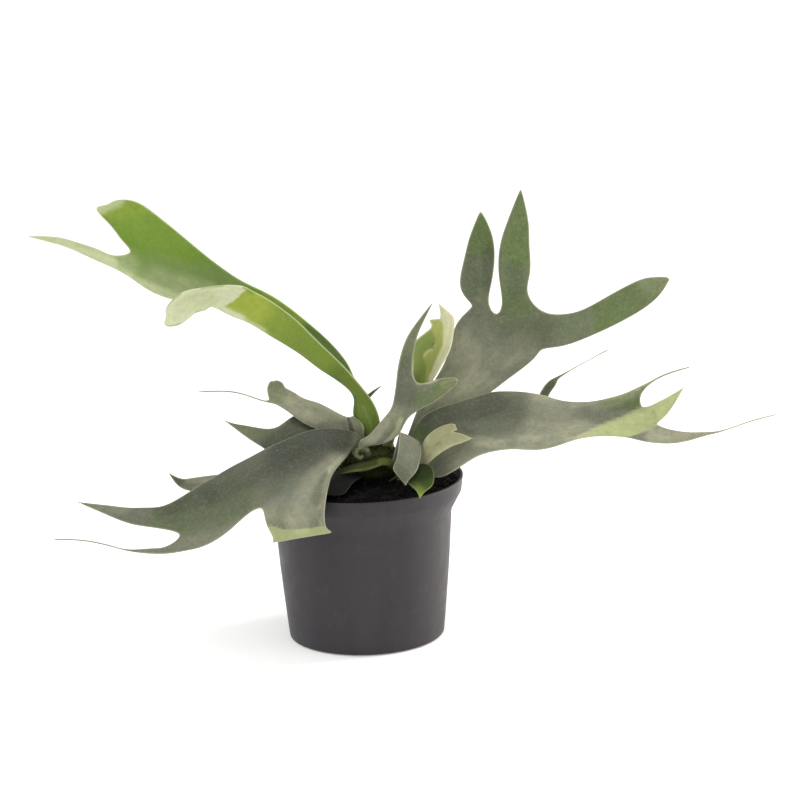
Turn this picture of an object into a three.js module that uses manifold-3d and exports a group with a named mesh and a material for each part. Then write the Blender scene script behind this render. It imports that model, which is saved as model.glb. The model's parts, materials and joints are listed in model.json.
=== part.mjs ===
// Staghorn fern in a plain nursery pot.
// Millimetres, +Z up. The origin is the middle of the pot's foot, on the surface that it stands on.
import * as THREE from 'three';
import { mergeVertices } from 'three/addons/utils/BufferGeometryUtils.js';
import Module from 'manifold-3d';

const wasm = await Module();
wasm.setup();

// Pot
const POT_HEIGHT = 113;
const RIM_RADIUS = 70;
const RIM_BAND = 10.5;
const RIM_SLOPE = 1.4;
const COLLAR_TAPER = 13;
const NECK_RADIUS = 61.5;
const WAIST_RADIUS = 58.8;
const FOOT_CORNER_RADIUS = 54.4;
const FOOT_RADIUS = 49.3;
const WALL = 1.8;
const FLOOR = 2.4;
const FOOT_RECESS = 2;
const FOOT_RING_WIDTH = 9;
const FOOT_DISC_RADIUS = 18;
const DRAIN_HOLES = 8;
const DRAIN_RADIUS = 4;
const DRAIN_CIRCLE = 28.5;
const DRAIN_SIDES = 12;
const WAIST_SHARE = 0.45;
const FOOT_CORNER_HEIGHT = 5;
const FOOT_BEVEL = 1.5;
const FOOT_CURVE = [[1.8, 1], [4, 2.8]];
const LIP_OUTER_EDGE = 0.8;
const LIP_INNER_EDGE = 0.3;
const FLOOR_CORNER_HEIGHT = 8;
const FLOOR_CORNER_INSET = 0.5;
const POT_SIDES = 44;

// Soil
const SOIL_EDGE_HEIGHT = 106;
const SOIL_MOUND = 5;
const SOIL_LUMPS = 1.1;
const SOIL_LEVEL_EDGE = 0.1;
const LUMPS_ACROSS = { rate: 0.33, start: 1.3 };
const LUMPS_BACK = { rate: 0.29, start: -0.4 };
const LUMPS_SLANTED = { share: 0.5, across: 0.71, back: -0.53 };
const SOIL_SIDES = 32;
const SOIL_RINGS = 5;

// Crown: the rhizome and the old tissue round it, a leaning dome that is half sunk in the soil
const CROWN_X = 7;
const CROWN_Y = 2;
const CROWN_TOP = 134.5;
const CROWN_FOOT = 94;
const CROWN_HALF_WIDTH = 23;
const CROWN_HALF_DEPTH = 20;
const CROWN_SIDES = 24;
const CROWN_SWELL = { size: 0.03, count: 5, twist: 0.4 };
// Its outline from the foot up: shares of its half width and of its height
const CROWN_OUTLINE = [[0, 0], [0.55, 0], [0.78, 0.2], [0.95, 0.42], [1, 0.56], [0.95, 0.72], [0.78, 0.87],
  [0.5, 0.96], [0, 1]];

// Where one piece stands in or rests on another, this much air stays between them
const SEAT_GAP = 0.33;
const SOCKET_GAP = 0.46;
const SOCKET_SPARE = 1;
const SAME_POINT = 1e-3;

// Fronds
const EDGE_THICKNESS = 0.9;
const FIT_PASSES = 8;
const FOOT_RUNGS = 4;
const TIP_WIDTH = 4;
const TIP_LENGTH = 0.9;

// The fronds are laid out as they are seen from the front, a little above the level of the plant.
// A mark is [across, up, depth]: the first two are where it is seen in the upright plane through the
// pot's axis that faces the eye, and depth is its real place along Y, so less is nearer to the eye.
const SIGHT_ELEVATION = THREE.MathUtils.degToRad(14);
const SIGHT_DISTANCE = 2000;
const EYE_ACROSS = 28;
const EYE_UP = 161;

const sightUp = new THREE.Vector3(0, Math.sin(SIGHT_ELEVATION), Math.cos(SIGHT_ELEVATION));
const sightBack = new THREE.Vector3(0, -Math.cos(SIGHT_ELEVATION), Math.sin(SIGHT_ELEVATION));
const eye = new THREE.Vector3(EYE_ACROSS, 0, 0)
  .addScaledVector(sightUp, EYE_UP)
  .addScaledVector(sightBack, SIGHT_DISTANCE);

function place([across, up, depth]) {
  const seen = new THREE.Vector3(across, 0, 0).addScaledVector(sightUp, up);
  return seen.lerp(eye, (depth - seen.y) / (eye.y - seen.y));
}

// A frond is a limb, which may fork into more limbs. A limb is a row of rungs from its foot to its tips.
// A rung is [thickness, arch, mark, mark, ...]: two marks are its left and right edges and three add its
// middle, while a rung that forks may give every point. The arch lifts its middle towards the face
// that is seen when the tip points up and the left edge is on the left.
const fronds = {
  frond_high_left: {
    rungs: [
      [2.6, 0, [10, 118, 3], [5.5, 117.5, 7], [10, 118, 11]],
      [2.4, 0, [12.5, 135, 2], [5, 134, 7.5], [13, 135.5, 13]],
      [2.2, 0, [13.2, 147, 1.5], [-3.4, 149, 7.5], [12.6, 148, 14]],
      [2.0, 0, [8.8, 160.3, 1], [-3.2, 161, 8], [8, 161, 14]],
      [1.8, 0, [0, 172.8, 0], [-8, 170.5, 7], [-1.8, 174, 14]],
      [1.6, 0, [-9.6, 184.5, -1], [-19.8, 179.8, 6], [-8, 187.8, 14]],
      [1.5, 0, [-25, 200.3, -3], [-38.5, 193.8, 5], [-22, 205.3, 14]],
      [1.4, 0, [-41, 217.2, -4], [-56.5, 206.2, 4], [-38.5, 220.5, 14]],
      [1.3, 0, [-60, 232.8, -5], [-77, 219, 3], [-57.5, 235.5, 13]],
      [1.2, 0, [-73, 240.5, -7], [-93, 226.5, 1], [-76, 245.5, 11]],
    ],
    forks: [
      {
        share: 1,
        rungs: [
          [1.1, 0, [-80, 244, -11], [-101, 230, -3]],
          [1.1, 2, [-93, 245, -17], [-106, 228.5, -10]],
          [1.1, 3, [-110, 243.5, -21], [-114, 226, -17]],
          [1.1, 2, [-123, 240.5, -22], [-124, 219, -20]],
          [1.0, 0, [-133.2, 231, -22], [-134.5, 218.5, -21]],
        ],
      },
      {
        share: 1,
        rungs: [
          [1.2, -2, [-104, 232, 4], [-92, 256, 10]],
          [1.2, -3, [-127, 236, 0], [-110, 271, 7]],
          [1.1, -3, [-145, 243.3, -4], [-127, 286, 4]],
          [1.1, 0, [-154, 250, -6], [-158, 258, -5], [-157.7, 270.3, -3], [-150, 284, 0], [-141, 298, 2]],
        ],
        forks: [
          {
            rungs: [
              [1.0, 0, [-165, 257.2, -7], [-169, 268.3, -5]],
              [1.0, 0, [-180, 264.8, -8], [-180, 272.9, -7]],
              [1.0, 0, [-195, 272.2, -9], [-195, 278.4, -8.5]],
              [0.9, 0, [-210, 278.2, -9], [-210, 282.5, -9]],
              [0.9, 0, [-226.5, 282.5, -9], [-226.5, 284, -9]],
            ],
          },
          {
            rungs: [
              [1.1, 0, [-163, 279, -3], [-147, 302.5, 0]],
              [1.0, 0, [-171, 290, -5], [-156, 306.5, -1]],
              [1.0, 0, [-180, 301, -6], [-167, 306.5, -3]],
            ],
          },
        ],
      },
    ],
  },
  frond_tall_right: {
    rungs: [
      [3.0, 0, [17, 117, 8], [24, 115, 5]],
      [2.8, 0, [27.6, 127.5, 10], [34, 121, 7]],
      [2.4, 1, [35.3, 142.2, 14], [49, 130, 12]],
      [2.0, 2, [41.8, 156.6, 18], [68, 146, 16]],
      [1.7, 3, [54, 176, 20], [88, 162, 17]],
      [1.5, 3, [63, 193, 21], [107, 175.3, 17]],
      [1.4, 2, [69, 212, 21], [99, 202, 19], [122.6, 187.2, 15]],
      [1.3, 0, [79, 223, 21], [88, 220.5, 20], [97, 219, 19], [112, 218, 17], [130.2, 219.5, 15],
        [131, 206, 13], [129, 193.5, 12]],
    ],
    forks: [
      {
        rungs: [
          [1.2, 1, [78.9, 228.6, 19], [92.2, 227, 18]],
          [1.2, 1.5, [73, 239, 20], [94.5, 241, 18]],
          [1.1, 1.5, [75.5, 256, 21], [97, 257, 19]],
          [1.0, 1, [80, 272, 21], [96, 274, 20]],
          [1.0, 0, [86.6, 287.6, 20], [88.7, 290.4, 20], [90.8, 287.4, 20]],
        ],
      },
      {
        rungs: [
          [1.2, 1, [101.6, 227, 16], [119.8, 232.6, 14]],
          [1.2, 1.5, [100, 247, 16], [121.8, 248, 14]],
          [1.1, 1.5, [101.5, 266, 15], [121.9, 267, 14]],
          [1.0, 1, [107, 283, 14], [121.5, 284, 13]],
          [1.0, 0, [115.2, 302.6, 12], [118.4, 302, 12]],
        ],
      },
      {
        rungs: [
          [1.2, 1, [146, 217.5, 12], [143, 195.4, 9]],
          [1.1, 1.5, [159, 220.5, 10], [160, 200.8, 8]],
          [1.1, 1.5, [175, 228.5, 9], [178, 208, 7]],
          [1.0, 1, [196, 238.7, 7], [200.3, 219.7, 6]],
          [1.0, 0.5, [208, 241.2, 6], [212.2, 229.4, 5.5]],
          [1.0, 0, [215.8, 241.2, 5], [218.7, 239.8, 5], [217.5, 236.8, 5]],
        ],
      },
    ],
  },
  frond_right: {
    rungs: [
      [3.0, 0, [25, 113, 3], [28, 109, -3]],
      [2.4, 0, [31, 127, 4], [37, 113, -7]],
      [1.9, -3, [37, 139, 4], [45, 109.5, -16]],
      [1.7, -4, [43, 148, 5], [53, 106, -23]],
      [1.5, -4, [55, 154.5, 6], [64, 110.5, -29]],
      [1.5, -3, [71, 159, 7], [76, 117.5, -33]],
      [1.4, -2, [88, 163.5, 8], [90, 122.5, -34]],
      [1.4, 1, [107, 164.5, 9], [107, 124, -33]],
      [1.3, 2, [126, 161.5, 9], [126, 123.5, -31]],
      [1.3, 2, [143, 156.5, 8], [142, 127, -28]],
      [1.2, 1, [161, 155.8, 6], [158, 131, -24]],
      [1.2, 0, [181, 159.3, 4], [190, 156, 2], [197.3, 151, -2], [201, 145.5, -7], [207, 138.6, -12],
        [193, 135, -16], [181, 130.5, -20]],
    ],
    forks: [
      {
        rungs: [
          [1.1, 0, [194, 164.2, 2], [196.6, 159, -1]],
          [1.0, 0, [203, 168.9, 0], [204.1, 166.6, -1]],
          [0.9, 0, [216, 174.6, -1], [216.5, 172.8, -1]],
          [0.9, 0, [230, 178, -2], [230, 176.8, -2]],
        ],
      },
      {
        rungs: [
          [1.1, 1, [206, 152.5, -5], [208, 140, -14]],
          [1.0, 1, [216, 157, -8], [217, 148.5, -14]],
          [0.9, 0, [224.9, 163.2, -10], [226, 161.5, -11]],
        ],
      },
      {
        rungs: [
          [1.1, 0, [213, 135.4, -14], [198, 126.9, -22]],
          [1.0, 0, [226, 132.5, -16], [217, 124.6, -22]],
          [1.0, 0, [242, 131.7, -18], [238, 128.6, -20]],
          [0.9, 0, [256, 134, -19], [256, 132.3, -19]],
          [0.9, 0, [272, 139, -19], [272, 137.5, -19]],
          [0.9, 0, [289, 142.9, -19], [289, 141.7, -19]],
        ],
      },
    ],
  },
  frond_front_left: {
    rungs: [
      [3.2, 0, [-7, 116, -7], [-3, 118, 1]],
      [2.8, 0, [-6.5, 126.5, -9], [-0.5, 132.5, 0]],
      [2.2, 1, [-8, 126, -16], [-4.5, 139, -2]],
      [1.9, 2, [-13, 120, -28], [-14, 141.7, -3]],
      [1.7, 3, [-20, 112, -44], [-28, 142.5, -6]],
      [1.5, 3, [-24.5, 101, -61], [-43, 139.2, -10]],
      [1.4, 0, [-27, 88, -78], [-48, 91, -72], [-71.3, 88.4, -61], [-69.5, 101, -50], [-69.5, 111, -39],
        [-69.5, 120.5, -28], [-69.5, 128.5, -17]],
    ],
    forks: [
      {
        rungs: [
          [1.3, 1, [-27.6, 79, -83], [-68, 77.5, -72]],
          [1.1, 0, [-25.6, 72, -85.5], [-63.5, 66.8, -76.5]],
          [1.1, 0, [-24.3, 69.8, -86], [-62.5, 64.3, -77]],
        ],
      },
      {
        rungs: [
          [1.3, 2, [-82, 84, -62], [-86, 120, -22]],
          [1.3, 2, [-93, 74.5, -63], [-101, 112.5, -27]],
          [1.2, 2, [-107, 65.4, -62], [-117, 103.8, -32]],
          [1.2, 0, [-121, 61, -60], [-127, 65.5, -56], [-129, 71.5, -51], [-130, 83, -43],
            [-131.5, 95.6, -36]],
        ],
        forks: [
          {
            rungs: [
              [1.1, 0, [-136, 59, -60], [-139, 63.7, -56]],
              [1.0, 0, [-151, 59, -59], [-151, 62.5, -57]],
              [0.9, 0, [-166, 61, -57], [-166, 63, -56]],
              [0.9, 0, [-182, 65.7, -55], [-182, 67.2, -55]],
              [0.9, 0, [-199, 69.3, -53], [-199, 70.6, -53]],
              [0.9, 0, [-215, 70.4, -52], [-215, 71.6, -52]],
            ],
          },
          {
            rungs: [
              [1.1, 1, [-142, 76.3, -48], [-144, 91.3, -38]],
              [1.0, 1, [-157, 79, -45], [-158, 91.2, -38]],
              [1.0, 0, [-172, 83.8, -43], [-173, 92.7, -39]],
              [0.9, 0, [-197, 95, -40], [-197, 96.6, -40]],
            ],
          },
        ],
      },
    ],
  },
  frond_centre: {
    rungs: [
      [3.0, 0, [-1, 119, -5], [5, 118, -7]],
      [2.6, 0, [-2, 131, -8], [4, 128, -9.5]],
      [2.2, 0, [5, 136.5, -10], [13, 130.5, -12]],
      [1.9, -1, [14, 146, -12], [26, 137, -14]],
      [1.6, -1, [21.5, 155, -13], [34.3, 149.3, -14]],
      [1.5, 0, [24.3, 164, -13], [50, 158, -11]],
      [1.4, 0, [26, 174, -13], [32, 172.5, -14], [40.5, 172.5, -13.5], [48, 169, -11], [57, 162.5, -8]],
    ],
    forks: [
      {
        rungs: [
          [1.3, -1, [27.8, 186, -13], [37.3, 185, -12]],
          [1.2, -1, [31.9, 199, -12], [39.5, 199, -11]],
          [1.0, 0, [38.6, 211, -10], [43.8, 211, -10]],
          [1.0, 0, [51, 226.8, -7], [52.3, 226.3, -7]],
        ],
      },
      {
        rungs: [
          [1.1, 0, [53, 174.2, -9], [61.5, 165.8, -6]],
          [1.0, 0, [64.9, 175.4, -4], [68.4, 174, -4], [67.3, 171, -4]],
        ],
      },
    ],
  },
  frond_curled: {
    rungs: [
      [2.4, 0, [14, 118, 1], [19, 117, -1]],
      [2.0, 0, [16, 131, 1], [22, 130, -1]],
      [1.8, 0, [22, 145, 0], [28, 144, -2]],
      [1.5, -1, [29, 160, 0], [38, 158, -2]],
      [1.3, 0, [35, 171, -2], [41, 169, 1], [47.5, 170, -1]],
      [1.2, 0, [37.5, 183, -4], [46, 180, 6], [56.5, 182, -2]],
      [1.1, 0, [38, 195, -4], [49, 194, 9], [63, 194, 0]],
      [1.1, 0, [41.3, 202.8, -3], [53, 203, 8.5], [65.8, 201.6, 2]],
      [1.1, 0, [50.7, 210.5, 2.5], [58, 210.8, 7], [67.3, 209, 2]],
      [1.0, 0, [50.7, 215, 2.5], [54.2, 215.4, 5], [58, 215.8, 6], [63, 216, 5], [67.7, 215.6, 1.5]],
    ],
    forks: [
      {
        rungs: [
          [1.0, 0, [51, 216.4, 2.3], [57.4, 216.7, 5.3]],
        ],
      },
      {
        rungs: [
          [1.0, 0, [58.2, 220.6, 3.5], [65.2, 220.3, 1]],
          [0.9, 0, [57.1, 226, 1], [60, 225.2, 1]],
        ],
      },
    ],
  },
  frond_left_upper: {
    rungs: [
      [2.8, 0, [-5, 119, 5], [-1, 120, 11]],
      [2.4, 0, [-5, 131, 6], [3, 133, 12.5]],
      [1.9, 1, [-6.5, 138.5, 5], [-1, 146.5, 12.5]],
      [1.7, 2, [-12, 138.5, 4], [-11.5, 150.8, 13]],
      [1.5, 2, [-22, 140.5, 5], [-27, 159.6, 15]],
      [1.4, 2, [-35, 144.5, 6], [-39, 164, 16]],
      [1.3, 1, [-47, 152.5, 8], [-47, 169, 17]],
      [1.2, 0, [-57, 160, 9], [-60.5, 162, 10], [-63.5, 164.5, 12], [-58.5, 169, 15], [-52, 172, 18]],
    ],
    forks: [
      {
        rungs: [
          [1.0, 0, [-68, 162.8, 10], [-68, 164.3, 10.5]],
          [0.9, 0, [-81, 167.6, 10], [-81, 169, 10]],
          [0.9, 0, [-95, 170.3, 9], [-95, 171.7, 9]],
          [0.9, 0, [-111, 170.6, 8], [-111, 171.7, 8]],
        ],
      },
      {
        rungs: [
          [1.1, 0, [-64.5, 171, 15], [-54, 175.5, 18]],
          [1.0, 0, [-62.5, 176.5, 16], [-58, 177.3, 17.5]],
        ],
      },
    ],
  },
  frond_left_low: {
    rungs: [
      [2.6, 0, [-13, 115, -1], [-10, 117, 4]],
      [2.0, 0, [-17, 124, -1], [-15, 130, 5]],
      [1.6, 1, [-28, 122, -1], [-30, 143, 9.5]],
      [1.4, 1, [-44, 117, -2], [-44, 152.5, 12]],
      [1.3, 0, [-62, 112, -5], [-64, 119, -2], [-67.5, 126.7, 1], [-64, 136, 4], [-57.3, 145.3, 8]],
    ],
    forks: [
      {
        rungs: [
          [1.2, 1, [-84, 104, -8], [-84, 116, -3]],
          [1.1, 1, [-103, 101, -9], [-103, 112.5, -5]],
          [1.0, 0, [-121, 102.2, -9], [-118, 111, -6]],
          [1.0, 0, [-130.3, 107.4, -8.5], [-127, 110.7, -7]],
          [0.9, 0, [-134.8, 113.4, -7], [-133.4, 114.2, -7]],
        ],
      },
      {
        rungs: [
          [1.1, 1, [-75, 134.8, 2], [-73, 144.8, 6]],
          [1.0, 0, [-92.7, 148, 4], [-92.7, 149.8, 4]],
        ],
      },
    ],
  },
  frond_back_small: {
    rungs: [
      [2.0, 0, [9, 117, 15], [13, 117, 15]],
      [1.6, 0, [6, 134, 19], [11, 134, 19]],
      [1.4, 0, [1, 148, 20], [6, 148, 21]],
      [1.2, 0, [0, 158, 20], [5, 157, 21]],
      [1.0, 0, [5, 165.5, 19], [7.5, 163.5, 19]],
      [0.9, 0, [13.5, 171, 17], [14.2, 169.8, 17]],
    ],
  },
  frond_back_right: {
    rungs: [
      [2.6, 0, [18, 116, 15], [23, 114, 12]],
      [2.0, 0, [26, 126, 18], [31, 121, 15]],
      [1.7, 1, [40, 135, 24], [47, 126, 19]],
      [1.5, 1, [61, 145, 32], [67, 131, 25]],
      [1.4, 1, [84, 152.5, 38], [88, 133, 29]],
      [1.3, 0, [106, 158, 41], [110, 152.5, 39], [116, 147, 37], [116, 139, 34], [113, 131, 32]],
    ],
    forks: [
      {
        rungs: [
          [1.1, 0, [121, 157, 40], [127, 153, 38]],
          [1.1, 0, [127, 164, 38], [132, 161, 37]],
          [1.0, 0, [133, 171, 37], [137.5, 168.8, 36]],
          [0.9, 0, [144, 177, 36], [145, 175.6, 36]],
          [0.9, 0, [172, 190.8, 33], [172, 189.6, 33]],
        ],
      },
      {
        rungs: [
          [1.1, 1, [127, 147, 36], [127, 134, 31]],
          [1.1, 1, [143, 149.5, 35], [143, 137.5, 31]],
          [1.0, 0, [160, 150.5, 33], [160, 143, 31]],
          [0.9, 0, [178, 152, 31], [178, 150.5, 31]],
        ],
      },
    ],
  },
  frond_small_cup: {
    rungs: [
      [1.8, 0, [-1, 120, 1], [2, 120, 2]],
      [1.6, 0, [-3, 131, 1.8], [1.5, 131, 2.8]],
      [1.4, 0, [-8, 139, 1.5], [2, 139, 2.2]],
      [1.2, 0.5, [-9.5, 145.5, 1.5], [1.5, 144.5, 2.2]],
      [1.0, 0, [-9.8, 149.8, 2], [-4.5, 150.2, 2.5]],
    ],
  },
  frond_small_grey: {
    rungs: [
      [2.4, 0, [24, 112, -7], [20, 112, -11]],
      [2.0, 0, [30, 127, -10], [23.5, 126, -15]],
      [1.7, 0, [36, 133.3, -16], [27, 138, -18]],
      [1.5, 1, [41.3, 128.5, -26], [26.6, 132, -26]],
      [1.4, 2, [40.5, 118.5, -35], [24.2, 119.5, -35]],
      [1.2, 1, [37.5, 110.5, -42], [22.1, 112.2, -42]],
      [1.0, 0, [32, 104.5, -47], [28, 104.5, -47]],
    ],
  },
  frond_small_pale: {
    rungs: [
      [2.4, 0, [22, 108, -6], [24, 105, -10]],
      [1.8, 0, [32, 113, -11], [34, 107.5, -15]],
      [1.4, 0, [41, 124, -18], [43, 113, -23]],
      [1.3, 1, [46, 134.5, -23], [52, 121, -30]],
      [1.2, 0, [57.5, 141.9, -23.5], [61.5, 140.5, -25.5], [64, 137.5, -27.5], [64, 132.5, -30],
        [62.5, 127.3, -31.5]],
    ],
    forks: [
      {
        rungs: [
          [1.0, 0, [65.4, 142.7, -22.5], [66.8, 138.9, -26]],
        ],
      },
      {
        rungs: [
          [1.0, 0, [70, 135.8, -28.5], [69.5, 129.6, -31]],
          [0.9, 0, [76.6, 133.4, -30], [76.9, 131.8, -30]],
        ],
      },
    ],
  },
  frond_small_green: {
    rungs: [
      [2.2, 0, [21, 104, -9], [17, 103, -12]],
      [1.8, 0, [30, 112, -21], [23.5, 107, -26]],
      [1.4, 1, [46, 115, -32], [29.5, 106, -37]],
      [1.2, 1, [50, 106, -41], [31.5, 103.3, -43.5]],
      [1.1, 0, [48.4, 100.2, -50], [35, 99.6, -51.5]],
      [1.0, 0, [45, 97.6, -57.5], [37.3, 97.2, -59]],
      [1.0, 0, [41.2, 93.6, -61.5], [39, 93.2, -62]],
    ],
  },
  frond_back_left: {
    rungs: [
      [2.4, 0, [-4.5, 116, 11.5], [-1, 116, 15.5]],
      [2.0, 1, [-13, 124, 18], [-9, 129, 24]],
      [1.6, 2, [-30, 127, 30], [-26, 134, 40]],
      [1.4, 2, [-52, 125, 42], [-48, 134, 56]],
      [1.3, 2, [-72, 113, 52], [-68, 125, 70]],
      [1.2, 0, [-88, 92, 58], [-90, 98, 64], [-92, 105, 70], [-88, 110, 76], [-84, 115, 82]],
    ],
    forks: [
      {
        rungs: [
          [1.2, 1, [-101, 81, 61], [-104, 93, 67]],
          [1.1, 1, [-113, 71, 62], [-116, 80, 66]],
          [0.9, 0, [-126, 65, 61], [-127, 67, 61]],
        ],
      },
      {
        rungs: [
          [1.1, 1, [-100, 99, 75], [-97, 107, 82]],
          [0.9, 0, [-121, 86, 77], [-121, 88, 77]],
        ],
      },
    ],
  },
  frond_back: {
    rungs: [
      [2.6, 0, [2, 112, 17], [8, 112, 18]],
      [2.0, 1, [0, 124, 27], [9, 124, 28]],
      [1.6, 2, [-4, 131, 45], [11, 131, 46]],
      [1.4, 2, [-9, 131, 68], [15, 131, 70]],
      [1.3, 2, [-16, 124, 92], [22, 124, 94]],
      [1.2, 0, [-24, 110, 112], [-12, 109, 113], [1, 106, 116], [13, 109, 114], [29, 111, 113]],
    ],
    forks: [
      {
        rungs: [
          [1.2, 1, [-37, 92, 126], [-18, 90, 129]],
          [1.1, 1, [-44, 76, 134], [-32, 74, 135]],
          [0.9, 0, [-47, 62, 138], [-45, 61.5, 138]],
        ],
      },
      {
        rungs: [
          [1.2, 1, [21, 94, 129], [40, 95, 128]],
          [1.1, 1, [35, 79, 136], [48, 81, 135]],
          [0.9, 0, [47, 67, 140], [49, 67.5, 140]],
        ],
      },
    ],
  },
  frond_back_low: {
    rungs: [
      [2.4, 0, [22, 110, 13], [25, 108, 8]],
      [1.8, 1, [30, 123, 26], [36, 119, 20]],
      [1.5, 1, [38, 130, 46], [48, 126, 40]],
      [1.3, 2, [44, 124, 74], [60, 119, 66]],
      [1.2, 2, [44, 106, 98], [63, 102, 92]],
      [1.1, 1, [42, 88, 112], [60, 86, 110]],
      [1.0, 1, [44, 72, 120], [56, 71, 119]],
      [0.9, 0, [49, 58, 124], [51, 58, 124]],
    ],
  },
  shield_front: {
    columns: 7,
    rungs: [
      [2.2, 0, [-5, 113, -11], [-1, 113.5, -12], [3, 114, -12.8], [7, 114.5, -13], [11, 114.5, -12.8],
        [15, 114.5, -12], [18, 114, -11]],
      [1.6, 0, [-13, 114, -18], [-8, 116, -21], [-2, 117.3, -23], [5, 118.3, -24], [11.5, 120, -23],
        [18, 120.6, -20], [21.5, 118, -17]],
      [1.1, 0, [-19, 110.8, -24], [-8, 111.6, -29], [-2, 112, -31], [5, 112.8, -32], [11.5, 115.2, -31],
        [17.5, 115.6, -28], [21, 113.2, -24]],
    ],
  },
  shield_left: {
    columns: 5,
    rungs: [
      [2.0, 0, [-10, 112, 6], [-9, 111, -1], [-7, 110, -7], [-4, 109, -11], [1, 108.5, -14]],
      [1.5, 0, [-26, 113, 8], [-25, 110.5, -5], [-20, 108, -17], [-13, 106.5, -25], [-4, 106, -29]],
      [1.3, 0, [-40, 111, 6], [-38, 107, -11], [-31, 103.5, -27], [-21, 101, -38], [-9, 101.5, -40]],
      [1.1, 0, [-50, 109, 2], [-47, 104.5, -17], [-39, 100.5, -34], [-28, 97, -45], [-15, 96, -48]],
    ],
  },
  shield_back: {
    columns: 5,
    rungs: [
      [2.0, 0, [15, 111.5, 17], [10, 112, 19], [5, 112, 20], [-1, 111.5, 18], [-6, 111, 15]],
      [1.5, 0, [26, 112.5, 24], [17, 114, 28], [6, 115, 30], [-7, 114, 29], [-17, 112, 24]],
      [1.1, 0, [36, 114, 32], [22, 115.5, 40], [6, 117, 44], [-11, 115.5, 41], [-26, 112, 33]],
    ],
  },
};

// Fiddlehead bud: a young frond rolled up at its tip, on a short stalk that bends down
const BUD_PATH = [[4.5, 121, -11.5], [4, 125.6, -15], [1, 128.2, -17.5], [-2.8, 126.8, -19],
  [-3.8, 123.6, -19.6], [-1.4, 121.4, -20], [1, 122.6, -19.8]];
const BUD_RADII = [1.7, 1.7, 1.6, 1.5, 1.4, 1.3, 0.9];
const BUD_SIDES = 8;
const BUD_STEPS = 16;

const tipCount = (limb) => (limb.forks ? limb.forks.reduce((sum, fork) => sum + tipCount(fork), 0) : 1);
const shareOf = (limb) => limb.share ?? tipCount(limb);

// Where a limb's points lie between its left edge, 0, and its right edge, 1.
function fractionsOf(limb) {
  const columns = limb.columns ?? 3;
  if (!limb.forks) return Array.from({ length: columns }, (_, i) => i / (columns - 1));
  const whole = limb.forks.reduce((sum, fork) => sum + shareOf(fork), 0);
  const fractions = [0];
  for (const fork of limb.forks) {
    const start = fractions.at(-1);
    for (const inner of fractionsOf(fork).slice(1)) fractions.push(start + inner * shareOf(fork) / whole);
  }
  return fractions;
}

// The points of one rung, each [x, y, z, thickness]. At a narrow tip the middle runs ahead of the edges.
function rungPoints([thickness, arch, ...marks], fractions, along, isTip) {
  const placed = marks.map(place);
  const left = placed[0];
  const right = placed.at(-1);
  const across = new THREE.Vector3().subVectors(right, left);
  const lift = across.clone().cross(along).normalize();
  const ahead = isTip && across.length() < TIP_WIDTH ? TIP_LENGTH * across.length() : 0;
  return fractions.map((at, i) => {
    const hump = 4 * at * (1 - at);
    let point;
    if (placed.length === fractions.length) {
      point = placed[i].clone();
    } else if (placed.length === 3) {
      point = left.clone().multiplyScalar((1 - at) * (1 - 2 * at));
      point.addScaledVector(placed[1], hump);
      point.addScaledVector(right, at * (2 * at - 1));
    } else {
      point = left.clone().lerp(right, at);
    }
    point.addScaledVector(lift, arch * hump);
    point.addScaledVector(along, ahead * hump);
    return [point.x, point.y, point.z, EDGE_THICKNESS + (thickness - EDGE_THICKNESS) * hump];
  });
}

const middleOf = (rung) => {
  const marks = rung.slice(2);
  return place(marks[0]).add(place(marks.at(-1))).multiplyScalar(0.5);
};

// A coarse net of four-sided faces through the rungs of a limb and of its forks.
function netOf(limb) {
  const points = [];
  const faces = [];
  function grow(part, fromRow, fromMiddle) {
    const fractions = fractionsOf(part);
    let row = fromRow;
    let before = fromMiddle;
    part.rungs.forEach((rung, i) => {
      const here = middleOf(rung);
      const next = part.rungs[i + 1] ? middleOf(part.rungs[i + 1]) : here;
      const along = new THREE.Vector3().subVectors(next, before ?? here).normalize();
      const isTip = !part.forks && !part.columns && i === part.rungs.length - 1;
      const newRow = rungPoints(rung, fractions, along, isTip).map((point) => points.push(point) - 1);
      if (row) {
        for (let k = 0; k + 1 < newRow.length; k++) {
          faces.push([row[k], row[k + 1], newRow[k + 1], newRow[k]]);
        }
      }
      row = newRow;
      before = here;
    });
    let start = 0;
    for (const fork of part.forks ?? []) {
      const end = start + fractionsOf(fork).length - 1;
      const root = row.slice(start, end + 1);
      const first = new THREE.Vector3(...points[root[0]]);
      const last = new THREE.Vector3(...points[root.at(-1)]);
      grow(fork, root, first.add(last).multiplyScalar(0.5));
      start = end;
    }
  }
  grow(limb, null, null);
  return { points, faces };
}

const combine = (terms) => terms[0][1].map((_, axis) => terms.reduce((sum, [w, p]) => sum + w * p[axis], 0));
const mean = (list) => combine(list.map((point) => [1 / list.length, point]));

// Which edges and faces meet at each point of a net.
function neighboursOf({ points, faces }) {
  const edges = new Map();
  faces.forEach((face, f) => face.forEach((a, k) => {
    const b = face[(k + 1) % face.length];
    const key = Math.min(a, b) + '_' + Math.max(a, b);
    if (!edges.has(key)) edges.set(key, { a: Math.min(a, b), b: Math.max(a, b), faces: [] });
    edges.get(key).faces.push(f);
  }));
  const around = points.map(() => ({ near: [], rim: [], faces: [] }));
  for (const edge of edges.values()) {
    const kind = edge.faces.length === 1 ? 'rim' : 'near';
    around[edge.a][kind].push(edge.b);
    around[edge.b][kind].push(edge.a);
  }
  faces.forEach((face, f) => face.forEach((a) => around[a].faces.push(f)));
  return { edges, around };
}

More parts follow.
